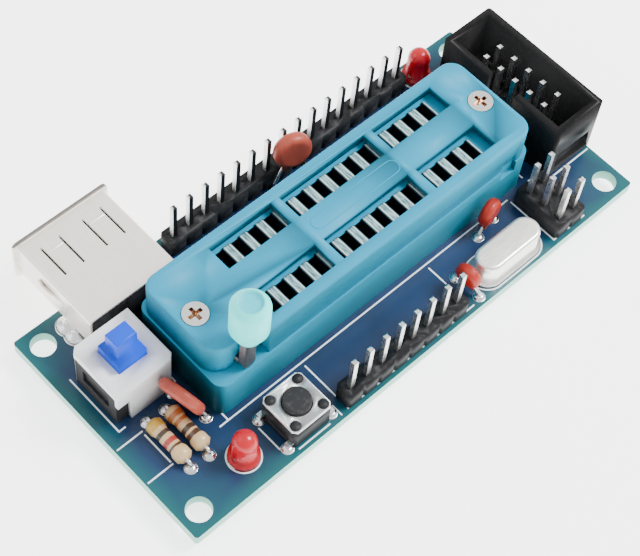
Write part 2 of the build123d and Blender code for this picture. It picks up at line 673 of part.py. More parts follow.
# ================================================================ usb receptacle
usb_bottom = USB_TOP - USB_HEIGHT
usb_front_plane = Plane(origin=(USB_CENTRE, USB_REAR, 0), x_dir=(1, 0, 0), z_dir=(0, -1, 0))
usb_middle = (USB_TOP + usb_bottom) / 2
spring_offset, slot_offset, spring_back = USB_SPRINGS
usb_slot_places = [
    (USB_CENTRE + side * spring_offset + edge * slot_offset, USB_REAR + spring_back)
    for side in (-1, 1)
    for edge in (-1, 1)
]
inner_width = USB_WIDTH - 2 * USB_SHEET
inner_height = USB_HEIGHT - 2 * USB_SHEET
with BuildPart() as usb_shell:
    with BuildSketch(usb_front_plane):
        with Locations((0, usb_middle)):
            RectangleRounded(USB_WIDTH, USB_HEIGHT, 0.6)
            RectangleRounded(inner_width, inner_height, 0.3, mode=Mode.SUBTRACT)
    extrude(amount=-USB_DEPTH)
    with BuildSketch(usb_front_plane.offset(-USB_DEPTH)):
        with Locations((0, usb_middle)):
            RectangleRounded(USB_WIDTH + 2 * USB_LIP, USB_HEIGHT + 2 * USB_LIP, 0.8)
            RectangleRounded(inner_width, inner_height, 0.3, mode=Mode.SUBTRACT)
    extrude(amount=-USB_SHEET)
    with BuildSketch(Plane.XY.offset(USB_TOP - 2 * USB_SHEET)):
        with Locations(*usb_slot_places):
            Rectangle(*USB_SLOT)
    extrude(amount=3 * USB_SHEET, mode=Mode.SUBTRACT)
    with BuildSketch(Plane.XY.offset(usb_bottom - USB_SHEET)):
        with Locations(*usb_slot_places):
            Rectangle(*USB_SLOT)
    extrude(amount=3 * USB_SHEET, mode=Mode.SUBTRACT)
    with BuildSketch(Plane.XY.offset(usb_bottom)):
        with Locations((USB_CENTRE, USB_REAR + USB_PIN_BACK)):
            Rectangle(inner_width - 2.9, 1.3)
    extrude(amount=USB_SHEET, mode=Mode.SUBTRACT)
    with BuildSketch(Plane.XY.offset(TAIL)):
        with Locations(*usb_tab_places):
            Rectangle(*TAB)
    extrude(amount=usb_middle - TAIL)
usb_shell.part.label = "usb_shell"
export_step(usb_shell.part, "parts/usb_shell.step")

tongue_top = USB_TOP - USB_SHEET - 1.5
with BuildPart() as usb_contacts:
    for x in USB_PINS:
        side = Plane(origin=(USB_CENTRE + x, USB_REAR, 0), x_dir=(0, 1, 0), z_dir=(1, 0, 0))
        with BuildSketch(side):
            span(
                USB_PIN_BACK - SPRING_SHEET / 2,
                USB_BLOCK_DEPTH + USB_TONGUE_LENGTH - 0.7,
                tongue_top - USB_TONGUE,
                tongue_top - USB_TONGUE + USB_CONTACT_SHEET,
            )
        extrude(amount=USB_CONTACT_WIDTH / 2, both=True)
        with BuildSketch(side):
            span(
                USB_PIN_BACK - SPRING_SHEET / 2,
                USB_PIN_BACK + SPRING_SHEET / 2,
                TAIL,
                tongue_top - USB_TONGUE + USB_CONTACT_SHEET,
            )
        extrude(amount=TAIL_WIDTH / 2, both=True)
usb_contacts.part.label = "usb_contacts"
export_step(usb_contacts.part, "parts/usb_contacts.step")

with BuildPart() as usb_insulator:
    with BuildSketch(usb_front_plane):
        with Locations((0, usb_middle)):
            RectangleRounded(inner_width - 0.1, inner_height - 0.1, 0.3)
    extrude(amount=-USB_BLOCK_DEPTH)
    with BuildSketch(Plane.XY.offset(TOP)):
        span(
            USB_CENTRE - inner_width / 2 + 0.4,
            USB_CENTRE + inner_width / 2 - 0.4,
            USB_REAR - USB_BLOCK_REAR,
            USB_REAR,
        )
    extrude(amount=USB_TOP - 0.4 - TOP)
    with BuildSketch(Plane.XY.offset(TOP)):
        span(
            USB_CENTRE - inner_width / 2 + 0.4,
            USB_CENTRE + inner_width / 2 - 0.4,
            USB_REAR,
            USB_REAR + USB_BLOCK_DEPTH,
        )
    extrude(amount=usb_bottom - TOP)
    with BuildSketch(Plane.XY.offset(usb_bottom)):
        with Locations((USB_CENTRE, USB_REAR + USB_PIN_BACK)):
            Rectangle(inner_width - 3, 1.2)
    extrude(amount=USB_SHEET + 0.1)
    with BuildSketch(Plane.XY.offset(tongue_top - USB_TONGUE)):
        span(
            USB_CENTRE - USB_TONGUE_WIDTH / 2,
            USB_CENTRE + USB_TONGUE_WIDTH / 2,
            USB_REAR,
            USB_REAR + USB_BLOCK_DEPTH + USB_TONGUE_LENGTH,
        )
    extrude(amount=USB_TONGUE)
    add(usb_contacts.part, mode=Mode.SUBTRACT)
    with BuildSketch(Plane.XY.offset(USB_TOP - 1.5)):
        span(
            USB_CENTRE - 4.0,
            USB_CENTRE - 1.0,
            USB_REAR - USB_BLOCK_REAR - 0.1,
            USB_REAR - 0.05,
        )
    extrude(amount=2, mode=Mode.SUBTRACT)
usb_insulator.part.label = "usb_insulator"
export_step(usb_insulator.part, "parts/usb_insulator.step")


# ================================================================ power switch
switch_top = TOP + SWITCH_HEIGHT
switch_half = SWITCH_SIZE / 2
inner_half = switch_half - SWITCH_SHEET
plunger_flange = switch_top - SWITCH_SHEET - 1.0
well_floor = TOP + SWITCH_FLOOR
with BuildPart() as switch_base:
    with BuildSketch(Plane.XY.offset(TOP)):
        with Locations(SWITCH_CENTRE):
            Rectangle(SWITCH_SIZE - 0.3, 2 * inner_half)
    extrude(amount=SWITCH_HEIGHT - SWITCH_SHEET - 0.1)
    with BuildSketch(Plane.XY.offset(well_floor)):
        with Locations(SWITCH_CENTRE):
            Rectangle(PLUNGER_SIZE[0] + SWITCH_FLANGE + 0.2, PLUNGER_SIZE[1] + SWITCH_FLANGE + 0.2)
    extrude(amount=SWITCH_HEIGHT, mode=Mode.SUBTRACT)
    with BuildSketch(Plane.XY.offset(TOP)):
        with Locations(*switch_leg_places):
            Rectangle(LEG[0], LEG[1])
    extrude(amount=well_floor - TOP + 0.4, mode=Mode.SUBTRACT)
    with BuildSketch(Plane.YZ.offset(SWITCH_CENTRE[0] - switch_half)):
        with Locations((SWITCH_CENTRE[1], TOP + 3.2)):
            Rectangle(4.6, 2.4)
    extrude(amount=0.5, mode=Mode.SUBTRACT)
switch_base.part.label = "switch_base"
export_step(switch_base.part, "parts/switch_base.step")

with BuildPart() as switch_housing:
    with BuildSketch(Plane.XY.offset(TOP)):
        with Locations(SWITCH_CENTRE):
            Rectangle(SWITCH_SIZE, SWITCH_SIZE)
    extrude(amount=SWITCH_HEIGHT)
    chamfer(switch_housing.edges().filter_by(Axis.Z).group_by(Axis.X)[0].sort_by(Axis.Y)[-1], 0.7)
    chamfer(switch_housing.edges().filter_by(Axis.Z).group_by(Axis.X)[-1].sort_by(Axis.Y)[0], 0.7)
    fillet(switch_housing.faces().sort_by(Axis.Z)[-1].edges(), 0.25)
    with BuildSketch(Plane.XY.offset(TOP)):
        with Locations(SWITCH_CENTRE):
            Rectangle(SWITCH_SIZE - 0.2, 2 * inner_half + 0.1)
    extrude(amount=SWITCH_HEIGHT - SWITCH_SHEET, mode=Mode.SUBTRACT)
    with BuildSketch(Plane.XY.offset(TOP)):
        with Locations(SWITCH_CENTRE):
            Rectangle(SWITCH_SIZE + 1, 2 * inner_half + 0.1)
    extrude(amount=SWITCH_HEIGHT - SWITCH_SKIRT, mode=Mode.SUBTRACT)
    with BuildSketch(Plane.XY.offset(TOP)):
        with Locations((SWITCH_CENTRE[0] - switch_half + 0.9, SWITCH_CENTRE[1] - switch_half)):
            Rectangle(1.9, 3)
    extrude(amount=4.4, mode=Mode.SUBTRACT)
    with BuildSketch(Plane.XY.offset(switch_top - SWITCH_SHEET)):
        with Locations(SWITCH_CENTRE):
            Rectangle(PLUNGER_SIZE[0] + 0.16, PLUNGER_SIZE[1] + 0.16)
    extrude(amount=SWITCH_HEIGHT, mode=Mode.SUBTRACT)
switch_housing.part.label = "switch_housing"
export_step(switch_housing.part, "parts/switch_housing.step")

with BuildPart() as switch_plunger:
    with BuildSketch(Plane.XY.offset(plunger_flange)):
        with Locations(SWITCH_CENTRE):
            Rectangle(PLUNGER_SIZE[0] + SWITCH_FLANGE, PLUNGER_SIZE[1] + SWITCH_FLANGE)
    extrude(amount=0.9)
    with BuildSketch(Plane.XY.offset(plunger_flange)):
        with Locations(SWITCH_CENTRE):
            Rectangle(*PLUNGER_SIZE)
    extrude(amount=switch_top + PLUNGER_RISE - plunger_flange)
    with BuildSketch(Plane.XY.offset(switch_top + PLUNGER_RISE)):
        with Locations((SWITCH_CENTRE[0], SWITCH_CENTRE[1] + 0.1)):
            Rectangle(*KEY_SIZE)
    extrude(amount=KEY_RISE)
    fillet(switch_plunger.faces().sort_by(Axis.Z)[-1].edges(), 0.2)
    with BuildSketch(Plane.XY.offset(plunger_flange)):
        with Locations(SWITCH_CENTRE):
            Circle(SWITCH_SPRING_RADIUS + SWITCH_SPRING_WIRE)
    extrude(amount=SWITCH_WELL_DEPTH, mode=Mode.SUBTRACT)
switch_plunger.part.label = "switch_plunger"
export_step(switch_plunger.part, "parts/switch_plunger.step")

spring_height = plunger_flange + SWITCH_WELL_DEPTH - well_floor - SWITCH_SPRING_WIRE
with BuildPart() as switch_spring:
    with BuildLine():
        coil = Helix(
            spring_height / SWITCH_SPRING_TURNS,
            spring_height,
            SWITCH_SPRING_RADIUS,
            center=(*SWITCH_CENTRE, well_floor + SWITCH_SPRING_WIRE / 2),
        )
    with BuildSketch(Plane(origin=coil @ 0, z_dir=coil % 0)):
        Circle(SWITCH_SPRING_WIRE / 2)
    sweep()
switch_spring.part.label = "switch_spring"
export_step(switch_spring.part, "parts/switch_spring.step")

with BuildPart() as switch_terminals:
    with BuildSketch(Plane.XY.offset(TAIL)):
        with Locations(*switch_leg_places):
            Rectangle(*LEG)
    extrude(amount=well_floor + 0.4 - TAIL)
switch_terminals.part.label = "switch_terminals"
export_step(switch_terminals.part, "parts/switch_terminals.step")


# ================================================================ reset key
reset_top = TOP + RESET_BASE
dome_base = TOP + RESET_WELL_FLOOR
rivet_places = [
    (RESET_CENTRE[0] + sx * RESET_RIVET_PITCH / 2, RESET_CENTRE[1] + sy * RESET_RIVET_PITCH / 2)
    for sx in (-1, 1)
    for sy in (-1, 1)
]
with BuildPart() as reset_terminals:
    for sx in (-1, 1):
        for sy in (-1, 1):
            x = RESET_CENTRE[0] + sx * RESET_LEG_REACH
            y = RESET_CENTRE[1] + sy * RESET_LEG_PITCH / 2
            with BuildSketch(Plane.XY.offset(TAIL)):
                with Locations((x, y)):
                    Rectangle(LEG[1], LEG[0])
            extrude(amount=TOP + 1.2 - TAIL)
            with BuildSketch(Plane.XY.offset(TOP + 0.8)):
                inner = RESET_CENTRE[0] + sx * (RESET_SIZE / 2 - 1.2)
                span(min(inner, x), max(inner, x), y - LEG[0] / 2, y + LEG[0] / 2)
            extrude(amount=LEG[1])
reset_terminals.part.label = "reset_terminals"
export_step(reset_terminals.part, "parts/reset_terminals.step")

with BuildPart() as reset_base:
    with BuildSketch(Plane.XY.offset(TOP)):
        with Locations(RESET_CENTRE):
            Rectangle(RESET_SIZE, RESET_SIZE)
    extrude(amount=RESET_BASE)
    chamfer(reset_base.edges().filter_by(Axis.Z), 0.4)
    with BuildSketch(Plane.XY.offset(reset_top)):
        with Locations(*rivet_places):
            Circle(RESET_RIVET_RADIUS)
    extrude(amount=RESET_PLATE + 0.15)
    with BuildSketch(Plane.XY.offset(dome_base)):
        with Locations(RESET_CENTRE):
            Circle(RESET_WELL_RADIUS)
    extrude(amount=RESET_BASE, mode=Mode.SUBTRACT)
    add(reset_terminals.part, mode=Mode.SUBTRACT)
reset_base.part.label = "reset_base"
export_step(reset_base.part, "parts/reset_base.step")

with BuildPart() as reset_cover:
    with BuildSketch(Plane.XY.offset(reset_top)):
        with Locations(RESET_CENTRE):
            Rectangle(RESET_SIZE, RESET_SIZE)
            Circle(RESET_BUTTON_RADIUS + 0.12, mode=Mode.SUBTRACT)
        with Locations(*rivet_places):
            Circle(RESET_RIVET_RADIUS, mode=Mode.SUBTRACT)
    extrude(amount=RESET_PLATE)
    chamfer(reset_cover.edges().filter_by(Axis.Z).group_by(Axis.X)[0], 0.5)
    chamfer(reset_cover.edges().filter_by(Axis.Z).group_by(Axis.X)[-1], 0.5)
reset_cover.part.label = "reset_cover"
export_step(reset_cover.part, "parts/reset_cover.step")

with BuildPart() as reset_button:
    with BuildSketch(Plane.XY.offset(reset_top - 0.75)):
        with Locations(RESET_CENTRE):
            Circle(RESET_FLANGE_RADIUS)
    extrude(amount=0.7)
    with BuildSketch(Plane.XY.offset(reset_top - 0.75)):
        with Locations(RESET_CENTRE):
            Circle(RESET_BUTTON_RADIUS)
    extrude(amount=0.75 + RESET_PLATE + RESET_RISE)
    fillet(reset_button.faces().sort_by(Axis.Z)[-1].edges(), 0.15)
reset_button.part.label = "reset_button"
export_step(reset_button.part, "parts/reset_button.step")

with BuildPart() as reset_dome:
    with BuildSketch(Plane(origin=(*RESET_CENTRE, dome_base), x_dir=(1, 0, 0), z_dir=(0, -1, 0))):
        with BuildLine():
            crown = ThreePointArc((0.2, 0.55), (1.2, 0.4), (2.1, 0))
            Line(crown @ 1, (1.95, 0))
            under = ThreePointArc((1.95, 0), (1.1, 0.29), (0.2, 0.43))
            Line(under @ 1, crown @ 0)
        make_face()
    revolve(axis=Axis((*RESET_CENTRE, 0), (0, 0, 1)))
reset_dome.part.label = "reset_dome"
export_step(reset_dome.part, "parts/reset_dome.step")


# ================================================================ leaded parts
def bent_wire(points, bend):
    """A round lead that follows a line of points with rounded corners."""
    with BuildPart() as wire:
        with BuildLine():
            path = FilletPolyline(*points, radius=bend)
        with BuildSketch(Plane(origin=path @ 0, z_dir=path % 0)):
            Circle(WIRE / 2)
        sweep()
    return wire.part


axis_height = TOP + RESISTOR_RADIUS + 0.1
for side, (x, y) in RESISTORS.items():
    with BuildPart() as leads:
        for s in (-1, 1):
            foot = y + s * RESISTOR_PITCH / 2
            end = y + s * RESISTOR_LENGTH / 2
            add(bent_wire([(x, foot, TAIL), (x, foot, axis_height), (x, end, axis_height)], 0.42))
    leads.part.label = f"{side}_resistor_leads"
    export_step(leads.part, f"parts/{side}_resistor_leads.step")
    with BuildPart() as resistor:
        with BuildSketch(Plane(origin=(x, y, axis_height), x_dir=(0, 1, 0), z_dir=(1, 0, 0))):
            half, neck = RESISTOR_LENGTH / 2, RESISTOR_RADIUS * 0.82
            with BuildLine():
                Polyline(
                    (-half, 0),
                    (-half, RESISTOR_RADIUS * 0.6),
                    (-half + 0.4, RESISTOR_RADIUS),
                    (-half + 1.3, RESISTOR_RADIUS),
                    (-half + 1.8, neck),
                    (half - 1.8, neck),
                    (half - 1.3, RESISTOR_RADIUS),
                    (half - 0.4, RESISTOR_RADIUS),
                    (half, RESISTOR_RADIUS * 0.6),
                    (half, 0),
                    (-half, 0),
                )
            make_face()
        revolve(axis=Axis((x, y, axis_height), (0, 1, 0)))
    resistor.part.label = f"{side}_resistor"
    export_step(resistor.part, f"parts/{side}_resistor.step")

frame_foot, frame_shoulder, frame_top = LAMP_FRAME
for side, (x, y) in LAMPS.items():
    with BuildPart() as frame:
        with BuildSketch(Plane.XY.offset(TAIL)):
            with Locations((x - PITCH / 2, y), (x + PITCH / 2, y)):
                Circle(WIRE / 2)
        extrude(amount=TOP + frame_foot - TAIL)
        near, far = y - LAMP_FRAME_SHEET / 2, y + LAMP_FRAME_SHEET / 2
        with BuildSketch(Plane.XY.offset(TOP + frame_foot)):
            span(x - PITCH / 2 - WIRE / 2, x - LAMP_FRAME_GAP / 2, near, far)
            span(x + LAMP_FRAME_GAP / 2, x + PITCH / 2 + WIRE / 2, near, far)
        extrude(amount=frame_shoulder - frame_foot)
        with BuildSketch(Plane.XY.offset(TOP + frame_shoulder)):
            span(x - LAMP_POST_REACH, x - LAMP_FRAME_GAP / 2, near, far)
            span(x + LAMP_FRAME_GAP / 2, x + LAMP_POST_REACH, near, far)
        extrude(amount=frame_top - frame_shoulder)
    frame.part.label = f"{side}_lamp_leads"
    export_step(frame.part, f"parts/{side}_lamp_leads.step")
    with BuildPart() as lens:
        with BuildSketch(Plane(origin=(x, y, TOP), x_dir=(1, 0, 0), z_dir=(0, -1, 0))):
            shoulder = LAMP_HEIGHT - LAMP_RADIUS
            with BuildLine():
                Polyline(
                    (0, 0),
                    (LAMP_FLANGE, 0),
                    (LAMP_FLANGE, LAMP_FLANGE_HEIGHT),
                    (LAMP_RADIUS, LAMP_FLANGE_HEIGHT),
                    (LAMP_RADIUS, shoulder),
                )
                ThreePointArc(
                    (LAMP_RADIUS, shoulder),
                    (LAMP_RADIUS * cos(radians(45)), shoulder + LAMP_RADIUS * sin(radians(45))),
                    (0, LAMP_HEIGHT),
                )
                Line((0, LAMP_HEIGHT), (0, 0))
            make_face()
        revolve(axis=Axis((x, y, 0), (0, 0, 1)))
        add(frame.part, mode=Mode.SUBTRACT)
    lens.part.label = f"{side}_lamp_lens"
    export_step(lens.part, f"parts/{side}_lamp_lens.step")

with BuildPart() as crystal_can:
    with BuildSketch(Plane.XY.offset(TOP + CRYSTAL_LIFT)):
        with Locations(CRYSTAL_CENTRE):
            SlotOverall(CRYSTAL_SIZE[0] + CRYSTAL_FLANGE[0], CRYSTAL_SIZE[1] + CRYSTAL_FLANGE[1])
    extrude(amount=CRYSTAL_RIM)
    with BuildSketch(Plane.XY.offset(TOP + CRYSTAL_LIFT)):
        with Locations(CRYSTAL_CENTRE):
            SlotOverall(*CRYSTAL_SIZE)
    extrude(amount=CRYSTAL_HEIGHT)
    fillet(crystal_can.faces().sort_by(Axis.Z)[-1].edges(), 0.5)
    with BuildSketch(Plane.XY.offset(TOP + CRYSTAL_LIFT)):
        with Locations(CRYSTAL_CENTRE):
            SlotOverall(CRYSTAL_SIZE[0] - 2 * CRYSTAL_SHEET, CRYSTAL_SIZE[1] - 2 * CRYSTAL_SHEET)
    extrude(amount=CRYSTAL_HEIGHT - 0.35, mode=Mode.SUBTRACT)
crystal_can.part.label = "crystal_can"
export_step(crystal_can.part, "parts/crystal_can.step")

with BuildPart() as crystal_leads:
    with BuildSketch(Plane.XY.offset(TAIL)):
        with Locations(*crystal_wire_places):
            Circle(WIRE / 2)
    extrude(amount=TOP + 1.4 - TAIL)
crystal_leads.part.label = "crystal_leads"
export_step(crystal_leads.part, "parts/crystal_leads.step")

with BuildPart() as crystal_base:
    with BuildSketch(Plane.XY.offset(TOP + CRYSTAL_LIFT)):
        with Locations(CRYSTAL_CENTRE):
            SlotOverall(CRYSTAL_SIZE[0] - 2 * CRYSTAL_SHEET, CRYSTAL_SIZE[1] - 2 * CRYSTAL_SHEET)
        with Locations(*crystal_wire_places):
            Circle(WIRE / 2, mode=Mode.SUBTRACT)
    extrude(amount=CRYSTAL_BASE)
crystal_base.part.label = "crystal_base"
export_step(crystal_base.part, "parts/crystal_base.step")

for name, ((x, y), rise, diameter, thickness, pitch, turn, lean) in CAPACITORS.items():
    along = (cos(radians(turn)), sin(radians(turn)), 0)
    shoulder = rise - diameter * 0.42
    bend = shoulder * BEND_SHARE
    upright = Plane(origin=(x, y, TOP), x_dir=along, z_dir=(along[1], -along[0], 0))
    level, up = cos(radians(lean)), sin(radians(lean))
    leaning = Plane(
        origin=(x, y, TOP + bend), x_dir=along, z_dir=(along[1] * level, -along[0] * level, up)
    )
    reach = diameter * 0.2
    with BuildPart() as leads:
        for s in (-1, 1):
            path = [
                upright.from_local_coords((s * pitch / 2, TAIL - TOP, 0)),
                upright.from_local_coords((s * pitch / 2, bend, 0)),
                leaning.from_local_coords((s * reach, shoulder - bend, 0)),
                leaning.from_local_coords((s * reach, rise - bend - diameter * 0.1, 0)),
            ]
            add(bent_wire(path, 0.3))
    leads.part.label = f"{name}_capacitor_leads"
    export_step(leads.part, f"parts/{name}_capacitor_leads.step")
    with BuildPart() as disc:
        with BuildSketch(leaning):
            with Locations((0, rise - bend)):
                Circle(diameter / 2)
        extrude(amount=thickness / 2, both=True)
        fillet(disc.edges().filter_by(GeomType.CIRCLE), thickness * 0.42)
        with BuildSketch(leaning):
            for s in (-1, 1):
                with Locations((s * reach, shoulder - bend)):
                    Rectangle(1.0, diameter * 0.3)
        extrude(amount=0.45, both=True)
        add(leads.part, mode=Mode.SUBTRACT)
    disc.part.label = f"{name}_capacitor"
    export_step(disc.part, f"parts/{name}_capacitor.step")
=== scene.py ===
"""Looks of a USB programmer board for microcontrollers in DIP packages.

Every solid part arrives with the frame. This file gives each one its finish, eases
the edges of the moulded and pressed ones, and adds what is printed, plated, soldered
or formed on them. Sizes are in metres unless a name says otherwise.
"""

import json
import math

import bpy
from bpy.props import FloatProperty, FloatVectorProperty, PointerProperty
from mathutils import Matrix, Vector

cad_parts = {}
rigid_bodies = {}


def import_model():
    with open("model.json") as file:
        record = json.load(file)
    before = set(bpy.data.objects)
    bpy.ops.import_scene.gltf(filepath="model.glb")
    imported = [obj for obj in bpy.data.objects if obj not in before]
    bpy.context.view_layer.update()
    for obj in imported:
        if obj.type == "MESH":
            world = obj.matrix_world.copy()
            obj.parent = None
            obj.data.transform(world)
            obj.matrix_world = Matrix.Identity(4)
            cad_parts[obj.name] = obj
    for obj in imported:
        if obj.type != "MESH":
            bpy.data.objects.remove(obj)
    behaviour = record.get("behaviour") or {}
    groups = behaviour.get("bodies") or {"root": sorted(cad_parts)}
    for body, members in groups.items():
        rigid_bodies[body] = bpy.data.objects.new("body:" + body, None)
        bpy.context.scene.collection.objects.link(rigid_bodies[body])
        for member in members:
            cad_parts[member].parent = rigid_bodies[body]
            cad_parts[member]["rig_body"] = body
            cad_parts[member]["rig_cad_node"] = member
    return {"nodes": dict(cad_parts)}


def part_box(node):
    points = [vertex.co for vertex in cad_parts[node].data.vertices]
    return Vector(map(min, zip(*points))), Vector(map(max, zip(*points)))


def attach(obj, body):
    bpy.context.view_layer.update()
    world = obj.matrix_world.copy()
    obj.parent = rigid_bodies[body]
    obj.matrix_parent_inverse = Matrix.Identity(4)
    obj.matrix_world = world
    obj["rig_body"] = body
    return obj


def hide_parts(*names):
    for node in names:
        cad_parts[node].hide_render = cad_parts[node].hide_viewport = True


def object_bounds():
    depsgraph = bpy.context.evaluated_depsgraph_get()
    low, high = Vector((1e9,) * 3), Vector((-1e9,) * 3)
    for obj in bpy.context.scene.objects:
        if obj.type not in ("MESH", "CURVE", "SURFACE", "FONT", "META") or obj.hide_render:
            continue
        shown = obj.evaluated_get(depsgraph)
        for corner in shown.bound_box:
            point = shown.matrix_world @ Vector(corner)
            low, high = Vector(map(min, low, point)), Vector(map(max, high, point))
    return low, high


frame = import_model()
CAD_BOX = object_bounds()

bl_info = {
    "name": "Programmer board",
    "version": (1, 0, 0),
    "blender": (4, 5, 0),
    "location": "View3D > Sidebar > Programmer board",
    "description": "Finishes and small details of a USB programmer board",
    "category": "Object",
}

MM = 0.001
FACE_UP = Vector((0, 0, 1))
WELD = 0.0005 * MM
FLAT_ANGLE = 0.5
FOOT_SLICE = 0.01 * MM
FOOT_REACH = 1.2 * MM
FLOOR_SIDE = 1.2
UNDER_STAGE_LIGHTS = 0.55


def display(red, green, blue, share=UNDER_STAGE_LIGHTS):
    """Reflectance that shows as a display colour, from 0 to 255, under the stage's lights."""
    parts = (red / 255, green / 255, blue / 255)
    linear = [c / 12.92 if c <= 0.04045 else ((c + 0.055) / 1.055) ** 2.4 for c in parts]
    return tuple(share * c for c in linear)


# ---------------------------------------------------------------- settings
def colour_setting(name, description, default):
    """A colour that a user can change."""
    return FloatVectorProperty(
        name=name, description=description, default=default, subtype="COLOR", min=0, max=1
    )


def length_setting(name, description, default):
    """A length that a user can change."""
    return FloatProperty(
        name=name, description=description, default=default, min=0, unit="LENGTH", precision=6
    )


class BoardSettings(bpy.types.PropertyGroup):
    """Colours and sizes of the bare board and what is printed and plated on it."""

    mask: colour_setting("Mask", "Solder mask over the middle of the board", display(24, 56, 104))
    # Painted glint: the teal that the mask turns along its rim and at its corners; it also tints
    # the weave
    glint_and_weave_tint: colour_setting("Mask edge", "Solder mask near the corners", display(20, 118, 122))
    laminate: colour_setting("Laminate", "Sawn edge of the board", display(160, 226, 206, 0.8))
    print_colour: colour_setting("Print", "White component print", display(236, 244, 248, 1.0))
    print_width: length_setting("Print width", "Width of a printed line", 0.2 * MM)
    print_height: length_setting("Print height", "Thickness of the print", 0.02 * MM)
    print_gap: length_setting("Print gap", "Space from a part to the line round it", 0.4 * MM)
    pad_radius: length_setting("Pad radius", "Outer radius of a plated pad", 0.82 * MM)
    pad_height: length_setting("Pad height", "Thickness of a plated pad", 0.035 * MM)
    solder_rise: length_setting("Solder rise", "Height of a solder fillet on top", 0.42 * MM)


class PartSettings(bpy.types.PropertyGroup):
    """Colours of the parts on the board."""

    socket: colour_setting("Socket", "Moulding of the test socket", (0.004, 0.27, 0.44))
    knob: colour_setting("Knob", "Knob of the socket lever", (0.07, 0.86, 0.8))
    key: colour_setting("Key", "Power key", (0.0, 0.06, 0.62))
    lamp: colour_setting("Lamp", "Lens of the lamps", (0.62, 0.008, 0.02))
    brown_disc: colour_setting("Brown disc", "Large disc capacitors", display(214, 92, 70))
    orange_disc: colour_setting("Orange disc", "Small disc capacitors", display(206, 46, 24))
    lacquer: colour_setting("Lacquer", "Body of the resistors", display(236, 200, 146, 0.7))
    edge_ease: length_setting("Eased edge", "Rounding of moulded edges", 0.16 * MM)


class StageSettings(bpy.types.PropertyGroup):
    """Camera, floor and lights."""

    eye: FloatVectorProperty(
        name="Eye",
        description="Where the camera stands",
        default=(-0.08428, -0.06908, 0.17223),
        subtype="TRANSLATION",
    )
    target: FloatVectorProperty(
        name="Target",
        description="Point at the middle of the picture",
        default=(-0.00339, -0.00064, 0.0016),
        subtype="TRANSLATION",
    )
    roll: FloatProperty(
        name="Roll",
        description="Turn of the camera about its line of sight",
        default=math.radians(7.7),
        subtype="ANGLE",
    )
    lens: FloatProperty(name="Lens", description="Focal length in millimetres", default=91.95)
    floor: colour_setting("Floor", "Plain pale floor", (0.92, 0.92, 0.92))
    floor_glow: FloatProperty(name="Floor glow", description="Light of the floor", default=2.9)
    key_power: FloatProperty(name="Key", description="Main light in watts", default=5.0)
    fill_power: FloatProperty(name="Fill", description="Fill light in watts", default=0.5)
    sky: FloatProperty(name="Sky", description="Light from all round", default=1.25)


def settings():
    """Board, part and stage settings of the scene."""
    scene = bpy.context.scene
    return scene.programmer_board, scene.programmer_parts, scene.programmer_stage


# ---------------------------------------------------------------- shader maths
class Value:
    """A shader socket that can be used in arithmetic."""

    def __init__(self, paint, socket):
        self.paint = paint
        self.socket = socket

    def _math(self, operation, *operands):
        choices = {"operation": operation}
        return self.paint.node("ShaderNodeMath", choices, dict(enumerate(operands)))

    def __add__(self, other):
        return self._math("ADD", self, other)

    def __sub__(self, other):
        return self._math("SUBTRACT", self, other)

    def __mul__(self, other):
        return self._math("MULTIPLY", self, other)

    def __truediv__(self, other):
        return self._math("DIVIDE", self, other)

    def __rsub__(self, other):
        return self._math("SUBTRACT", other, self)

    def __pow__(self, other):
        return self._math("POWER", self, other)

    __radd__ = __add__
    __rmul__ = __mul__

    def __abs__(self):
        return self._math("ABSOLUTE", self)

    def least(self, other):
        """The smaller of two values."""
        return self._math("MINIMUM", self, other)

    def most(self, other):
        """The larger of two values."""
        return self._math("MAXIMUM", self, other)

    def fraction(self):
        """What is left of the value above its whole number."""
        return self._math("FRACT", self)

    def ramp(self, low, high):
        """0 at low, 1 at high, straight in between."""
        inputs = {0: self, 1: low, 2: high, 3: 0.0, 4: 1.0}
        return self.paint.node("ShaderNodeMapRange", {}, inputs)

    def band(self, low, high, soft):
        """1 between low and high, fading to 0 over a soft distance outside."""
        return self.ramp(low - soft, low) * (1 - self.ramp(high, high + soft))


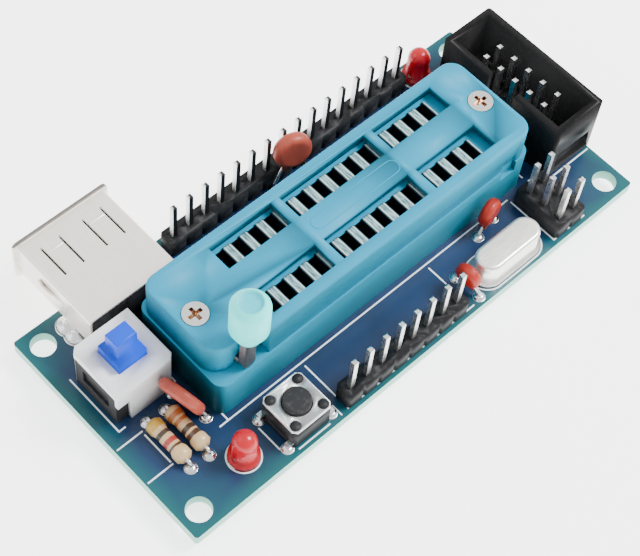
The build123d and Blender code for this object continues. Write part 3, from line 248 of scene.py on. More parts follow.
class Paint:
    """One material, built node by node on a Principled shader."""

    def __init__(self, name, constants=None):
        self.material = bpy.data.materials.new(name)
        self.material.use_nodes = True
        self.tree = self.material.node_tree
        self.shader = self.tree.nodes["Principled BSDF"]
        for socket, value in (constants or {}).items():
            self.give(self.shader.inputs[socket], value)
        position = self.node("ShaderNodeTexCoord", {}, {}, "Object")
        to_mm = {0: position, 3: 1 / MM}
        self.mm = self.node("ShaderNodeVectorMath", {"operation": "SCALE"}, to_mm)
        self.facing = self.node("ShaderNodeTexCoord", {}, {}, "Normal")

    def give(self, socket, value):
        """Links or sets one input socket."""
        if isinstance(value, Value):
            self.tree.links.new(value.socket, socket)
        elif hasattr(value, "__len__") and len(value) == 3 and len(socket.default_value) == 4:
            socket.default_value = (*value, 1)
        else:
            socket.default_value = value

    def node(self, kind, choices, inputs, output=0):
        """Adds a node: its type, its settings, its inputs and the output that is used."""
        made = self.tree.nodes.new(kind)
        for name, value in choices.items():
            if name == "stops":
                while len(made.color_ramp.elements) < len(value):
                    made.color_ramp.elements.new(0.5)
                for element, (place, colour) in zip(made.color_ramp.elements, value):
                    element.position = place
                    element.color = (*colour, 1)
            else:
                setattr(made, name, value)
        for socket, value in inputs.items():
            self.give(made.inputs[socket], value)
        return Value(self, made.outputs[output])

    def axis(self, name, of=None):
        """One coordinate of the place in millimetres, or of another vector."""
        return self.node("ShaderNodeSeparateXYZ", {}, {0: of or self.mm}, name)

    def noise(self, per_mm, detail=3.0, stretch=(1, 1, 1)):
        """Noise from 0 to 1, with a number of features in a millimetre."""
        choices = {"operation": "MULTIPLY"}
        place = self.node("ShaderNodeVectorMath", choices, {0: self.mm, 1: stretch})
        inputs = {"Vector": place, "Scale": per_mm, "Detail": detail}
        return self.node("ShaderNodeTexNoise", {}, inputs, "Fac")

    def mix(self, share, first, second):
        """First colour where share is 0, second where it is 1."""
        choices = {"data_type": "RGBA"}
        return self.node("ShaderNodeMix", choices, {0: share, 6: first, 7: second}, 2)

    def vary(self, share, colour, low, high):
        """A colour at one share of itself where share is 0 and at another where it is 1."""
        return self.mix(share, shade(colour, low), shade(colour, high))

    def bump(self, height, distance):
        """Raises the surface where height is large, by up to a distance in metres."""
        inputs = {"Height": height, "Distance": distance, "Strength": 1.0}
        self.put("Normal", self.node("ShaderNodeBump", {}, inputs))

    def put(self, socket, value):
        """Feeds one socket of the shader."""
        self.give(self.shader.inputs[socket], value)


def shade(colour, share):
    """A colour made darker or lighter by a share."""
    return tuple(min(1.0, c * share) for c in colour)


def moulded(name, colour, rough, grain=1.0, mottle=0.12, coat=0.0):
    """Moulded plastic: a fine spark-eroded grain, slow colour drift and handling marks."""
    paint = Paint(name, {"Coat Weight": coat, "Coat Roughness": 0.25, "Specular IOR Level": 0.25})
    drift = paint.noise(0.18, 2.0)
    fine = paint.noise(9.0, 2.0)
    rubbed = paint.noise(1.1, 5.0).ramp(0.55, 0.75)
    tone = paint.vary(drift.ramp(0.3, 0.7), colour, 1 - mottle, 1 + mottle)
    paint.put("Base Color", paint.mix(fine.ramp(0.35, 0.75) * 0.25, tone, shade(colour, 1.35)))
    paint.put("Roughness", rough + rubbed * 0.08 + fine * 0.06)
    paint.bump(fine * grain + paint.noise(2.5, 2.0) * 0.5, 0.012 * MM)
    return paint


def plated(name, colour, rough, stretch=(1, 1, 1), tarnish=(0.35, 0.33, 0.3), worn=0.35):
    """Bright plated metal: drawn streaks along one direction, rougher tarnished patches and fine
    pitting.
    """
    paint = Paint(name, {"Metallic": 1.0})
    streaks = paint.noise(6.0, 3.0, stretch)
    patches = paint.noise(0.8, 4.0).ramp(0.5, 0.8)
    tone = paint.vary(streaks.ramp(0.3, 0.7), colour, 0.86, 1.08)
    paint.put("Base Color", paint.mix(patches * worn, tone, tarnish))
    paint.put("Roughness", rough + streaks * 0.12 + patches * 0.12)
    paint.bump(streaks + paint.noise(14.0, 2.0) * 0.4, 0.006 * MM)
    return paint


# ---------------------------------------------------------------- modelling by hand
def alone(*chosen):
    """Leaves only these objects selected, the last one active."""
    if bpy.context.object and bpy.context.object.mode != "OBJECT":
        bpy.ops.object.mode_set(mode="OBJECT")
    bpy.ops.object.select_all(action="DESELECT")
    for piece in chosen:
        piece.select_set(True)
        bpy.context.view_layer.objects.active = piece


def pick(piece, kind, test):
    """Opens a piece for editing with only the elements selected that pass a test."""
    if piece.mode != "OBJECT":
        bpy.ops.object.mode_set(mode="OBJECT")
    mesh = piece.data
    groups = {"VERT": mesh.vertices, "EDGE": mesh.edges, "FACE": mesh.polygons}
    for group in groups.values():
        group.foreach_set("select", [False] * len(group))
    bpy.context.tool_settings.mesh_select_mode = [kind == name for name in groups]
    for item in groups[kind]:
        item.select = test(item)
    bpy.ops.object.mode_set(mode="EDIT")


def facing(direction):
    """A test for faces that look in one direction."""
    return lambda face: face.normal.dot(direction) > 0.9


def grow(offset=(0, 0, 0), scale=1.0, centre=(0, 0, 0)):
    """Extrudes what is selected by an offset, then scales it about a centre."""
    bpy.ops.mesh.extrude_region_move(TRANSFORM_OT_translate={"value": offset})
    if scale != 1.0:
        bpy.ops.transform.resize(value=(scale, scale, 1), center_override=centre)


def disc(radius, centre, vertices):
    """A flat disc of one face, with its place in its mesh."""
    bpy.ops.mesh.primitive_circle_add(
        vertices=vertices, radius=radius, location=centre, fill_type="NGON"
    )
    bpy.ops.object.transform_apply(location=True)
    return bpy.context.object


def block(centre, size):
    """A block to shape, with its place and size in its mesh."""
    bpy.ops.mesh.primitive_cube_add(size=1, location=centre, scale=size)
    bpy.ops.object.transform_apply(location=True, scale=True)
    return bpy.context.object


def everything(item):
    """A test that any vertex, edge or face passes."""
    return True


def rim(flat, width):
    """Leaves a rim of a flat piece."""
    pick(flat, "FACE", everything)
    bpy.ops.mesh.inset(thickness=width)
    bpy.ops.mesh.delete(type="FACE")


def face_outward():
    """Turns every face of the piece in hand outward."""
    bpy.ops.mesh.select_all(action="SELECT")
    bpy.ops.mesh.normals_make_consistent(inside=False)


def thicken(piece, height):
    """Raises a flat strip into a thin solid."""
    pick(piece, "FACE", everything)
    bpy.ops.mesh.extrude_region_move(TRANSFORM_OT_translate={"value": (0, 0, height)})
    face_outward()
    bpy.ops.object.mode_set(mode="OBJECT")


def shift(piece, test, offset):
    """Moves the vertices of a piece that pass a test."""
    pick(piece, "VERT", test)
    bpy.ops.transform.translate(value=offset)


def lengthen(piece, middle, reach):
    """Moves the two halves of a piece apart along X, each by a reach."""
    slack = 0.001 * MM
    for side in (1, -1):

        def beyond(vertex, side=side):
            return (vertex.co.x - middle) * side > slack

        shift(piece, beyond, (side * reach, 0, 0))


def modify(piece, kind, **choices):
    """Adds a modifier and applies it."""
    alone(piece)
    made = piece.modifiers.new(kind.title(), kind)
    for name, value in choices.items():
        setattr(made, name, value)
    bpy.ops.object.modifier_apply(modifier=made.name)


def soften(piece, angle=35):
    """Smooth shading, with sharp edges above an angle in degrees."""
    alone(piece)
    bpy.ops.object.shade_smooth_by_angle(angle=math.radians(angle))


def settle(piece, name, body, paint):
    """Finishes a new piece: place into its mesh, name, material and body."""
    alone(piece)
    bpy.ops.object.transform_apply(location=True, rotation=True, scale=True)
    piece.name = piece.data.name = name
    dress(piece, paint)
    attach(piece, body)
    return piece


def dress(piece, paint):
    """Gives an object its material."""
    piece.data.materials.clear()
    piece.data.materials.append(paint.material)


def repeat(pattern, places):
    """Copies a pattern to each place and joins the copies; the pattern goes away."""
    copies = []
    for place in places:
        copy = pattern.copy()
        copy.data = pattern.data.copy()
        copy.location = place
        bpy.context.scene.collection.objects.link(copy)
        copies.append(copy)
    bpy.data.objects.remove(pattern)
    alone(*copies)
    if len(copies) > 1:
        bpy.ops.object.join()
    return bpy.context.view_layer.objects.active


def eased(node, name, paint, width=None, angle=30, smooth=35):
    """Stands for a CAD node with a copy whose sharp edges are eased."""
    _, parts, _ = settings()
    source = frame["nodes"][node]
    body = source["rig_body"]
    alone()
    piece = source.copy()
    piece.data = source.data.copy()
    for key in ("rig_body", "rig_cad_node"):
        del piece[key]
    piece.parent = None
    piece.matrix_world = Matrix.Identity(4)
    bpy.context.scene.collection.objects.link(piece)
    pick(piece, "VERT", everything)
    bpy.ops.mesh.remove_doubles(threshold=WELD)
    bpy.ops.mesh.dissolve_limited(angle_limit=math.radians(FLAT_ANGLE))
    bpy.ops.mesh.customdata_custom_splitnormals_clear()
    soften(piece, smooth)
    modify(
        piece,
        "BEVEL",
        width=width or parts.edge_ease,
        segments=2,
        limit_method="ANGLE",
        angle_limit=math.radians(angle),
        harden_normals=True,
    )
    settle(piece, name, body, paint)
    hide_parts(node)
    return piece


def finish_nodes(paint, *nodes):
    """Gives CAD nodes their material."""
    for node in nodes:
        dress(frame["nodes"][node], paint)


def nodes_ending(ending):
    """Names of the CAD nodes that end in some letters."""
    return [node for node in frame["nodes"] if node.endswith(ending)]


def feet(*nodes):
    """Centres of the lowest ends of the wires and pins of some CAD nodes."""
    found = []
    for node in nodes:
        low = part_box(node)[0].z + FOOT_SLICE
        ends = []
        for vertex in frame["nodes"][node].data.vertices:
            if vertex.co.z > low:
                continue
            near = [end for end in ends if (end[0] - vertex.co.xy).length < FOOT_REACH]
            if near:
                near[0][1].append(vertex.co.xy)
            else:
                ends.append((vertex.co.xy.copy(), [vertex.co.xy.copy()]))
        for _, corners in ends:
            xs = [corner.x for corner in corners]
            ys = [corner.y for corner in corners]
            found.append(Vector(((min(xs) + max(xs)) / 2, (min(ys) + max(ys)) / 2, 0)))
    return found


def corners_of(node):
    """Left, right, front and back of a CAD node."""
    low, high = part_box(node)
    return low.x, high.x, low.y, high.y


board_low, board_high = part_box("circuit_board")
TOP = board_high.z
UNDER = board_low.z


# ---------------------------------------------------------------- board
def laminate_paint(board):
    """Blue mask, painted teal glint at its rim and corners, weave under it, sawn glass-fibre
    edges.
    """
    gloss = {"Coat Weight": 0.2, "Coat Roughness": 0.15, "Specular IOR Level": 0.3}
    paint = Paint("laminate", gloss)
    x, y = paint.axis("X"), paint.axis("Y")
    half_x, half_y = board_high.x / MM, board_high.y / MM
    inset_x = half_x - abs(x)
    inset_y = half_y - abs(y)
    wander = paint.noise(0.25, 3.0)
    # Painted glint: how far the teal reaches in from the rim and from the corners
    rim = 1 - (inset_x.least(inset_y) + wander * 1.4).ramp(0.9, 3.4)
    corner = 1 - ((inset_x * inset_x + inset_y * inset_y) ** 0.5 + wander * 3).ramp(2.5, 10.5)
    threads = {"Vector": paint.mm, "Scale": 1.6, "Distortion": 0.6}
    weave = paint.node("ShaderNodeTexWave", {"wave_profile": "SIN"}, threads)
    cloudy = paint.noise(0.12, 2.0).ramp(0.3, 0.7)
    middle = paint.vary(cloudy, board.mask, 0.78, 1.25)
    middle = paint.mix(weave * 0.08, middle, board.glint_and_weave_tint)
    # Painted glint: teal laid over the mask along the rim and at the corners
    mask = paint.mix(rim.most(corner) * 0.85, middle, board.glint_and_weave_tint)
    upright = 1 - abs(paint.axis("Z", paint.facing)).ramp(0.4, 0.6)
    fibres = paint.noise(5.0, 3.0, (1, 1, 5))
    sawn = paint.vary(fibres, board.laminate, 0.75, 1.15)
    paint.put("Base Color", paint.mix(upright, mask, sawn))
    paint.put("Roughness", 0.28 + upright * 0.4 + paint.noise(3.0, 4.0) * 0.12)
    paint.bump(weave * 0.4 + fibres * upright + paint.noise(1.5, 3.0) * 0.5, 0.008 * MM)
    return paint


def print_paint(board):
    """White print, thin enough in spots for the mask to show."""
    paint = Paint("print", {"Specular IOR Level": 0.3})
    thin = paint.noise(4.0, 4.0).ramp(0.6, 0.78)
    paint.put("Base Color", paint.mix(thin * 0.6, board.print_colour, board.mask))
    paint.put("Roughness", 0.55 + thin * 0.2)
    paint.bump(paint.noise(12.0, 2.0), 0.005 * MM)
    return paint


def printed_path(points, board):
    """A printed line that follows square corners, as one flat strip."""
    width = board.print_width
    start = Vector((*points[0], TOP))
    bpy.ops.mesh.primitive_plane_add(size=width, location=start)
    line = bpy.context.object
    bpy.ops.object.transform_apply(location=True)
    here = Vector(points[0])
    for point in points[1:]:
        way = Vector(point) - here
        along = way.normalized()
        front = here + along * width / 2

        def leading(edge, front=front, along=along):
            ends = [line.data.vertices[i].co.xy for i in edge.vertices]
            return all(abs((end - front).dot(along)) < width * 0.1 for end in ends) and all(
                (end - front).length < width for end in ends
            )

        straight = along * (way.length - width)
        pick(line, "EDGE", leading)
        bpy.ops.mesh.extrude_edges_move(TRANSFORM_OT_translate={"value": (*straight, 0)})
        bpy.ops.mesh.extrude_edges_move(TRANSFORM_OT_translate={"value": (*(along * width), 0)})
        bpy.ops.object.mode_set(mode="OBJECT")
        here = Vector(point)
    return line


def printed_ring(centre, radius, board, stretch=0.0):
    """A printed ring, or a long one with straight sides."""
    ring = disc(radius, (centre[0], centre[1], TOP), 48)
    if stretch:
        lengthen(ring, centre[0], stretch)
    rim(ring, board.print_width)
    bpy.ops.object.mode_set(mode="OBJECT")
    return ring


def joined(*pieces):
    """Joins pieces into one object."""
    alone(*pieces)
    if len(pieces) > 1:
        bpy.ops.object.join()
    return bpy.context.view_layer.objects.active


class PROGRAMMER_OT_board(bpy.types.Operator):
    """Finish of the bare board"""

    bl_idname = "programmer.board"
    bl_label = "Board"

    def execute(self, context):
        board, _, _ = settings()
        finish_nodes(laminate_paint(board), "circuit_board")
        return {"FINISHED"}


class PROGRAMMER_OT_print(bpy.types.Operator):
    """White lines printed round the parts"""

    bl_idname = "programmer.print"
    bl_label = "Component print"

    def execute(self, context):
        board, _, _ = settings()
        gap = board.print_gap
        left, right, front, _ = corners_of("circuit_board")
        s_left, s_right, s_front, _ = corners_of("socket_base")
        h_left, h_right, _, _ = corners_of("front_header_strip")
        p_left, p_right, _, p_back = corners_of("six_pin_header_strip")
        w_left, w_right, w_front, w_back = corners_of("switch_housing")
        k_left, k_right, k_front, k_back = corners_of("reset_base")
        b_left, b_right, b_front, b_back = corners_of("box_header_shroud")
        r_left, _, _, r_back = corners_of("left_resistor")
        along_socket = s_front - 2 * gap
        over_header = along_socket - 1.7 * gap
        resistor_side = r_left - 0.35 * gap
        frame_front = front + 1.8 * gap
        switch_line = s_front + 4.65 * MM
        header_left, header_right = h_left + 0.3 * gap, h_right + 2 * gap
        key_left, key_right = k_left - 3 * gap, k_right + 3.2 * gap
        key_front = k_front + 1.1 * MM
        block_left = p_left - gap / 2
        paths = [
            [(left + gap, switch_line), (resistor_side, switch_line)],
            [(left + gap, along_socket), (resistor_side, along_socket)],
            [(resistor_side, along_socket + gap), (resistor_side, r_back - gap)],
            [(w_left + 8.8 * MM, along_socket), (p_left - gap, along_socket)],
            [(s_left + 0.6 * MM, along_socket + gap / 2), (s_left + 0.6 * MM, s_front + 0.9 * MM)],
            [
                (header_left, over_header),
                (header_left, frame_front),
                (h_right + 3 * gap, frame_front),
            ],
            [(header_right, over_header), (header_right, over_header - 2.9 * MM)],
            [
                (w_left - gap, w_back),
                (w_left - gap, w_front - gap),
                (w_left + 1.2 * gap, w_front - gap),
            ],
            [(key_left, k_back - 1.4 * MM), (key_left, key_front)],
            [(k_left + 0.6 * MM, k_front - gap), (k_right - 0.6 * MM, k_front - gap)],
            [(key_right, key_front), (key_right, k_front - gap)],
            [(block_left, p_back), (block_left, frame_front), (p_right + gap, frame_front)],
            [(p_right + gap, frame_front + gap), (p_right + gap, frame_front + 2.4 * gap)],
            [(b_left + 1.2 * MM, b_front - gap), (right - gap, b_front - gap)],
            [(s_right + gap, s_front + gap), (s_right + gap, s_front + 4 * gap)],
            [(s_right + gap, b_front + 2.8 * gap), (b_left - gap, b_front + 2.8 * gap)],
            [(b_left - gap, b_back + gap), (b_right - 2 * gap, b_back + gap)],
            [(w_right + 0.6 * gap, w_front + gap), (w_right + 0.6 * gap, w_back - gap)],
        ]
        lines = [printed_path(path, board) for path in paths]
        for node in ("front_lamp_lens", "back_lamp_lens"):
            l_left, l_right, l_front, l_back = corners_of(node)
            middle = ((l_left + l_right) / 2, (l_front + l_back) / 2)
            lines.append(printed_ring(middle, (l_right - l_left) / 2 + gap * 0.6, board))
        c_left, c_right, c_front, c_back = corners_of("crystal_can")
        middle = ((c_left + c_right) / 2, (c_front + c_back) / 2)
        reach = (c_back - c_front) / 2
        stretch = (c_right - c_left) / 2 - reach
        lines.append(printed_ring(middle, reach + gap * 0.8, board, stretch))
        strip = joined(*lines)
        thicken(strip, board.print_height)
        settle(strip, "component_print", "board", print_paint(board))
        return {"FINISHED"}


def solder_paint(name="solder", rough=0.16):
    """Bright solder with frosted patches and amber flux at the foot."""
    paint = Paint(name, {"Metallic": 1.0, "Coat Weight": 0.25})
    lumps = paint.noise(2.2, 3.0)
    frost = paint.noise(7.0, 4.0).ramp(0.5, 0.75)
    flux = paint.noise(0.9, 3.0).ramp(0.58, 0.72)
    silver = paint.mix(frost, (0.78, 0.79, 0.8), (0.6, 0.61, 0.63))
    paint.put("Base Color", paint.mix(flux * 0.3, silver, (0.42, 0.3, 0.16)))
    paint.put("Roughness", rough + frost * 0.25)
    paint.bump(lumps + frost * 0.2, 0.05 * MM)
    return paint


def all_feet():
    """Every wire, pin and leg that passes the board, in groups."""
    return {
        "pins": feet(*nodes_ending("_header_pins")),
        "contacts": feet("socket_contacts"),
        "legs": feet("usb_contacts", "switch_terminals", "reset_terminals"),
        "wires": feet(*nodes_ending("_leads")),
        "tabs": feet("usb_shell"),
    }


def pad_pattern(radius, hole, height, z):
    """A flat plated ring with a raised inner lip, standing on the mask."""
    pad = disc(radius, (0, 0, 0), 24)
    rim(pad, radius - hole)
    thicken(pad, height)
    shift(pad, everything, (0, 0, z))
    lip = abs(height) * 0.3
    modify(pad, "BEVEL", width=lip, segments=1, limit_method="ANGLE", angle_limit=1.0)
    soften(pad, 50)
    return pad


def fillet_pattern(profile):
    """Solder drawn up a wire: rings of given radius and height, closed at the tip."""
    radius, height = profile[0]
    fillet = disc(radius, (0, 0, height), 20)
    up = profile[-1][1] > height
    pick(fillet, "FACE", everything)
    for wider, narrower in zip(profile, profile[1:]):
        step = (0, 0, narrower[1] - wider[1])
        grow(step, narrower[0] / wider[0], (0, 0, narrower[1]))
    face_outward()
    bpy.ops.object.mode_set(mode="OBJECT")
    soften(fillet, 60 if up else 55)
    return fillet


class PROGRAMMER_OT_pads(bpy.types.Operator):
    """Plated rings round every hole, on both sides of the board"""

    bl_idname = "programmer.pads"
    bl_label = "Pads"

    def execute(self, context):
        board, _, _ = settings()
        groups = all_feet()
        small = [place for name in ("pins", "contacts", "legs", "wires") for place in groups[name]]
        paint = plated("pad_plating", (0.8, 0.8, 0.78), 0.22)
        for name, z, height in (
            ("top_pads", TOP, board.pad_height),
            ("under_pads", UNDER, -board.pad_height),
        ):
            rings = repeat(pad_pattern(board.pad_radius, 0.5 * MM, height, z), small)
            wide = repeat(pad_pattern(1.6 * MM, 0.9 * MM, height, z), groups["tabs"])
            settle(joined(wide, rings), name, "board", paint)
        return {"FINISHED"}


class PROGRAMMER_OT_solder(bpy.types.Operator):
    """Solder under the board, and what has risen through the holes on top"""

    bl_idname = "programmer.solder"
    bl_label = "Solder"

    def execute(self, context):
        board, _, _ = settings()
        groups = all_feet()
        paint = solder_paint()
        depth = 1.0 * MM
        cone = ((0.88, 0), (0.66, 0.22), (0.52, 0.5), (0.45, 0.8), (0.34, 1))
        under = [(radius * MM, UNDER - share * depth) for radius, share in cone]
        for name, group, node in (
            ("header_fillets", "pins", "header_solder_joints"),
            ("socket_fillets", "contacts", "socket_solder_joints"),
            ("wire_fillets", "wires", "wire_solder_joints"),
        ):
            joint = repeat(fillet_pattern(under), groups[group])
            settle(joint, name, "board", paint)
            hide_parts(node)
        leg_joint = repeat(fillet_pattern(under), groups["legs"])
        wide = [(radius * 1.7, height) for radius, height in under]
        tab_joint = repeat(fillet_pattern(wide), groups["tabs"])
        terminal = joined(tab_joint, leg_joint)
        settle(terminal, "terminal_fillets", "board", paint)
        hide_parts("terminal_solder_joints")
        rise = board.solder_rise
        cone = ((0.8, 0), (0.7, 0.45), (0.5, 0.85), (0.34, 1))
        over = [(radius * MM, TOP + share * rise) for radius, share in cone]
        shown = groups["wires"] + feet("reset_terminals")
        top_joint = repeat(fillet_pattern(over), shown)
        lump = ((1.45, 0), (1.5, 0.25), (1.2, 0.55), (0.75, 0.6), (0.5, 0.95), (0.3, 1.15))
        collar = [(radius * MM, TOP + height * MM) for radius, height in lump]
        collars = repeat(fillet_pattern(collar), groups["tabs"])
        risen = joined(collars, top_joint)
        settle(risen, "risen_solder", "board", paint)
        return {"FINISHED"}


# ---------------------------------------------------------------- headers
def black_paint(name, tone, rough):
    """Black moulding with grey scuffs and a fine grain."""
    paint = Paint(name, {"Specular IOR Level": 0.16})
    scuffs = paint.noise(1.6, 6.0).ramp(0.52, 0.8)
    fine = paint.noise(10.0, 2.0)
    black, grey = (tone, tone, tone * 1.08), (tone * 3.2, tone * 3.2, tone * 3.4)
    paint.put("Base Color", paint.mix(scuffs * 0.6, black, grey))
    paint.put("Roughness", rough + fine * 0.12 + scuffs * 0.1)
    paint.bump(fine + paint.noise(2.0, 3.0) * 0.6, 0.012 * MM)
    return paint


def pin_paint():
    """Tinned square pin, drawn along its length, rougher at the foot and darkened there by painted
    shade.
    """
    paint = Paint("pin_tin", {"Metallic": 1.0})
    streaks = paint.noise(8.0, 3.0, (1, 1, 0.12))
    # Painted shade: the pin is darkened towards its foot
    foot = 1 - paint.axis("Z").ramp(3.5, 6.5)
    tone = paint.mix(streaks.ramp(0.35, 0.65), (0.66, 0.66, 0.65), (0.9, 0.9, 0.88))
    paint.put("Base Color", paint.mix(foot * 0.5, tone, (0.4, 0.39, 0.36)))
    paint.put("Roughness", 0.2 + streaks * 0.16 + foot * 0.1)
    paint.bump(streaks, 0.006 * MM)
    return paint


class PROGRAMMER_OT_headers(bpy.types.Operator):
    """Pin headers and the box header"""

    bl_idname = "programmer.headers"
    bl_label = "Headers"

    def execute(self, context):
        strip = black_paint("header_black", 0.017, 0.42)
        shroud = black_paint("shroud_black", 0.006, 0.34)
        pins = pin_paint()
        # Painted light on the back header pins: faces turned to -X get a painted highlight, all
        # other faces painted shade in dark grey
        lit_and_shaded_pins = plated("painted_light_pin", (0.1, 0.1, 0.1), 0.42, (1, 1, 0.12), (0.05, 0.05, 0.05))
        lit_side = 1 - lit_and_shaded_pins.axis("X", lit_and_shaded_pins.facing).ramp(-0.7, -0.5)
        streaks = lit_and_shaded_pins.noise(8.0, 3.0, (1, 1, 0.12))
        grey = lit_and_shaded_pins.mix(streaks, (0.035, 0.035, 0.036), (0.09, 0.09, 0.09))
        lit_and_shaded_pins.put("Base Color", lit_and_shaded_pins.mix(lit_side, grey, (0.95, 0.95, 0.94)))
        for node in ("front_header", "back_header", "six_pin_header"):
            eased(f"{node}_strip", f"{node}_block", strip, 0.22 * MM)
            finish_nodes(lit_and_shaded_pins if node == "back_header" else pins, f"{node}_pins")
        eased("box_header_shroud", "box_header_wall", shroud, 0.12 * MM)
        finish_nodes(pins, "box_header_pins")
        return {"FINISHED"}


# ---------------------------------------------------------------- test socket
def socket_paint(colour):
    """Sky-blue moulding, satin grain; painted shade makes sides and low parts darker and more
    green, -X ends and windows dark.
    """
    paint = Paint("socket_blue", {"Specular IOR Level": 0.22})
    low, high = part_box("socket_base")[0].z / MM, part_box("socket_cover")[1].z / MM
    depth = 1 - paint.axis("Z").ramp(low, high)
    drift = paint.noise(0.15, 2.0).ramp(0.3, 0.7)
    fine = paint.noise(8.0, 3.0)
    upright = 1 - abs(paint.axis("Z", paint.facing)).ramp(0.3, 0.8)
    tone = paint.vary(drift, colour, 0.94, 1.06)
    # Painted shade: the side faces and the lower part are mixed towards a darker, more green blue
    shaded_side_blue = (colour[0] * 0.55, colour[1] * 0.9, colour[2] * 0.78)
    tone = paint.mix((upright * 0.45 + depth * 0.35).least(1.0), tone, shaded_side_blue)
    flow = paint.noise(0.5, 4.0, (0.2, 1, 2.5)).ramp(0.45, 0.75)
    tone = paint.mix(flow * upright * 0.2, tone, shade(colour, 1.2))
    near, far = (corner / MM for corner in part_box("socket_contacts"))
    bar = 1.5
    spread = (far.y - near.y) / 2 - bar
    across = abs(abs(paint.axis("Y") - (near.y + far.y) / 2) - spread)
    along = abs(paint.axis("X") - (near.x + far.x) / 2) - (far.x - near.x) / 2
    window = (1 - across.ramp(2.0, 2.2)) * (1 - along.ramp(2.0, 2.4))
    # Painted shade: faces turned to -X, more so the lower they are, and the lower parts of the
    # side faces are darkened
    end = 1 - paint.axis("X", paint.facing).ramp(-0.8, -0.4)
    painted_shade_blue = (0.001, 0.03, 0.045)
    tone = paint.mix((end * (0.3 + depth * 0.9)).least(0.85), tone, painted_shade_blue)
    tone = paint.mix((upright * (depth - 0.45)).most(0) * 0.7, tone, painted_shade_blue)
    # Painted shade: the walls of the contact windows are darkened and their depths painted near
    # black
    window_depth_shadow = window * (1 - paint.axis("Z").ramp(far.z - 0.5, far.z - 0.35))
    tone = paint.mix(window * upright * 0.75, tone, (0.004, 0.07, 0.1))
    paint.put("Base Color", paint.mix(window_depth_shadow, tone, (0.002, 0.006, 0.014)))
    paint.put("Roughness", 0.42 + fine * 0.1 + flow * 0.06)
    paint.bump(fine + flow * 0.5, 0.01 * MM)
    return paint


def contact_paint():
    """Sprung contact metal: grey-green plating, a painted highlight along each folded edge,
    painted shade between the bars and on all faces but the top.
    """
    paint = Paint("contact_plating", {"Metallic": 0.5})
    ribs = paint.noise(2.6, 4.0, (3, 0.35, 1))
    top = paint.axis("Z", paint.facing).ramp(0.5, 0.9)
    pitch, bar, first = 2.54, 1.24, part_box("socket_contacts")[0].x / MM + 0.95
    across = abs(((paint.axis("X") - first) / pitch).fraction() * pitch - (pitch + 0.06) / 2)
    # Painted highlight: a pale line where each bar curves over into its slot
    folded_edge_highlight = across.band(bar / 2 - 0.28, bar / 2 - 0.18, 0.04)
    # Painted shade: the gaps between the bars are near black
    rim = across.ramp(bar / 2 - 0.14, bar / 2 - 0.1)
    tone = paint.mix(ribs.ramp(0.4, 0.6), (0.06, 0.16, 0.18), (0.34, 0.54, 0.56))
    tone = paint.mix(folded_edge_highlight * 0.8, tone, (0.75, 0.9, 0.9))
    tone = paint.mix(rim * 0.9, tone, (0.01, 0.03, 0.04))
    # Painted shade: every face but the top is near black
    paint.put("Base Color", paint.mix(top, (0.004, 0.01, 0.02), tone))
    paint.put("Roughness", 0.3 + ribs * 0.2)
    paint.bump(ribs, 0.02 * MM)
    return paint


def recess_paint():
    """Bright screw head with a brown driver recess."""
    paint = plated("screw_plating", (0.9, 0.9, 0.89), 0.14)
    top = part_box("cover_screws")[1].z / MM
    sunk = 1 - paint.axis("Z").ramp(top - 0.16, top - 0.08)
    worn = paint.noise(3.0, 4.0).ramp(0.4, 0.7)
    brown = paint.mix(worn, (0.16, 0.06, 0.02), (0.5, 0.34, 0.22))
    plating = paint.mix(worn * 0.2, (0.9, 0.9, 0.89), (0.62, 0.56, 0.5))
    paint.put("Base Color", paint.mix(sunk, plating, brown))
    return paint


def moulding_line():
    """The faint raised outline that a mould insert leaves between the contact rows."""
    left, right, front, back = corners_of("socket_cover")
    middle = (front + back) / 2
    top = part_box("socket_cover")[1].z
    half = 1.05 * MM
    centre_x = (left + right) / 2 + 1.8 * MM
    line = disc(half, (centre_x, middle, top), 32)
    lengthen(line, centre_x, 6.0 * MM)
    rim(line, 0.14 * MM)
    thicken(line, 0.05 * MM)
    shift(line, everything, (0, 0, -0.02 * MM))
    modify(line, "BEVEL", width=0.015 * MM, segments=2, limit_method="ANGLE", angle_limit=0.8)
    soften(line, 50)
    return line


class PROGRAMMER_OT_socket(bpy.types.Operator):
    """Test socket with its contacts, slider and cover screws"""

    bl_idname = "programmer.socket"
    bl_label = "Test socket"

    def execute(self, context):
        _, parts, _ = settings()
        blue = socket_paint(parts.socket)
        eased("socket_cover", "socket_top", blue, 0.13 * MM)
        eased("socket_base", "socket_body", blue, 0.1 * MM)
        finish_nodes(blue, "socket_slider")
        finish_nodes(contact_paint(), "socket_contacts")
        finish_nodes(recess_paint(), "cover_screws")
        line = moulding_line()
        settle(line, "moulding_line", "board", blue)
        return {"FINISHED"}


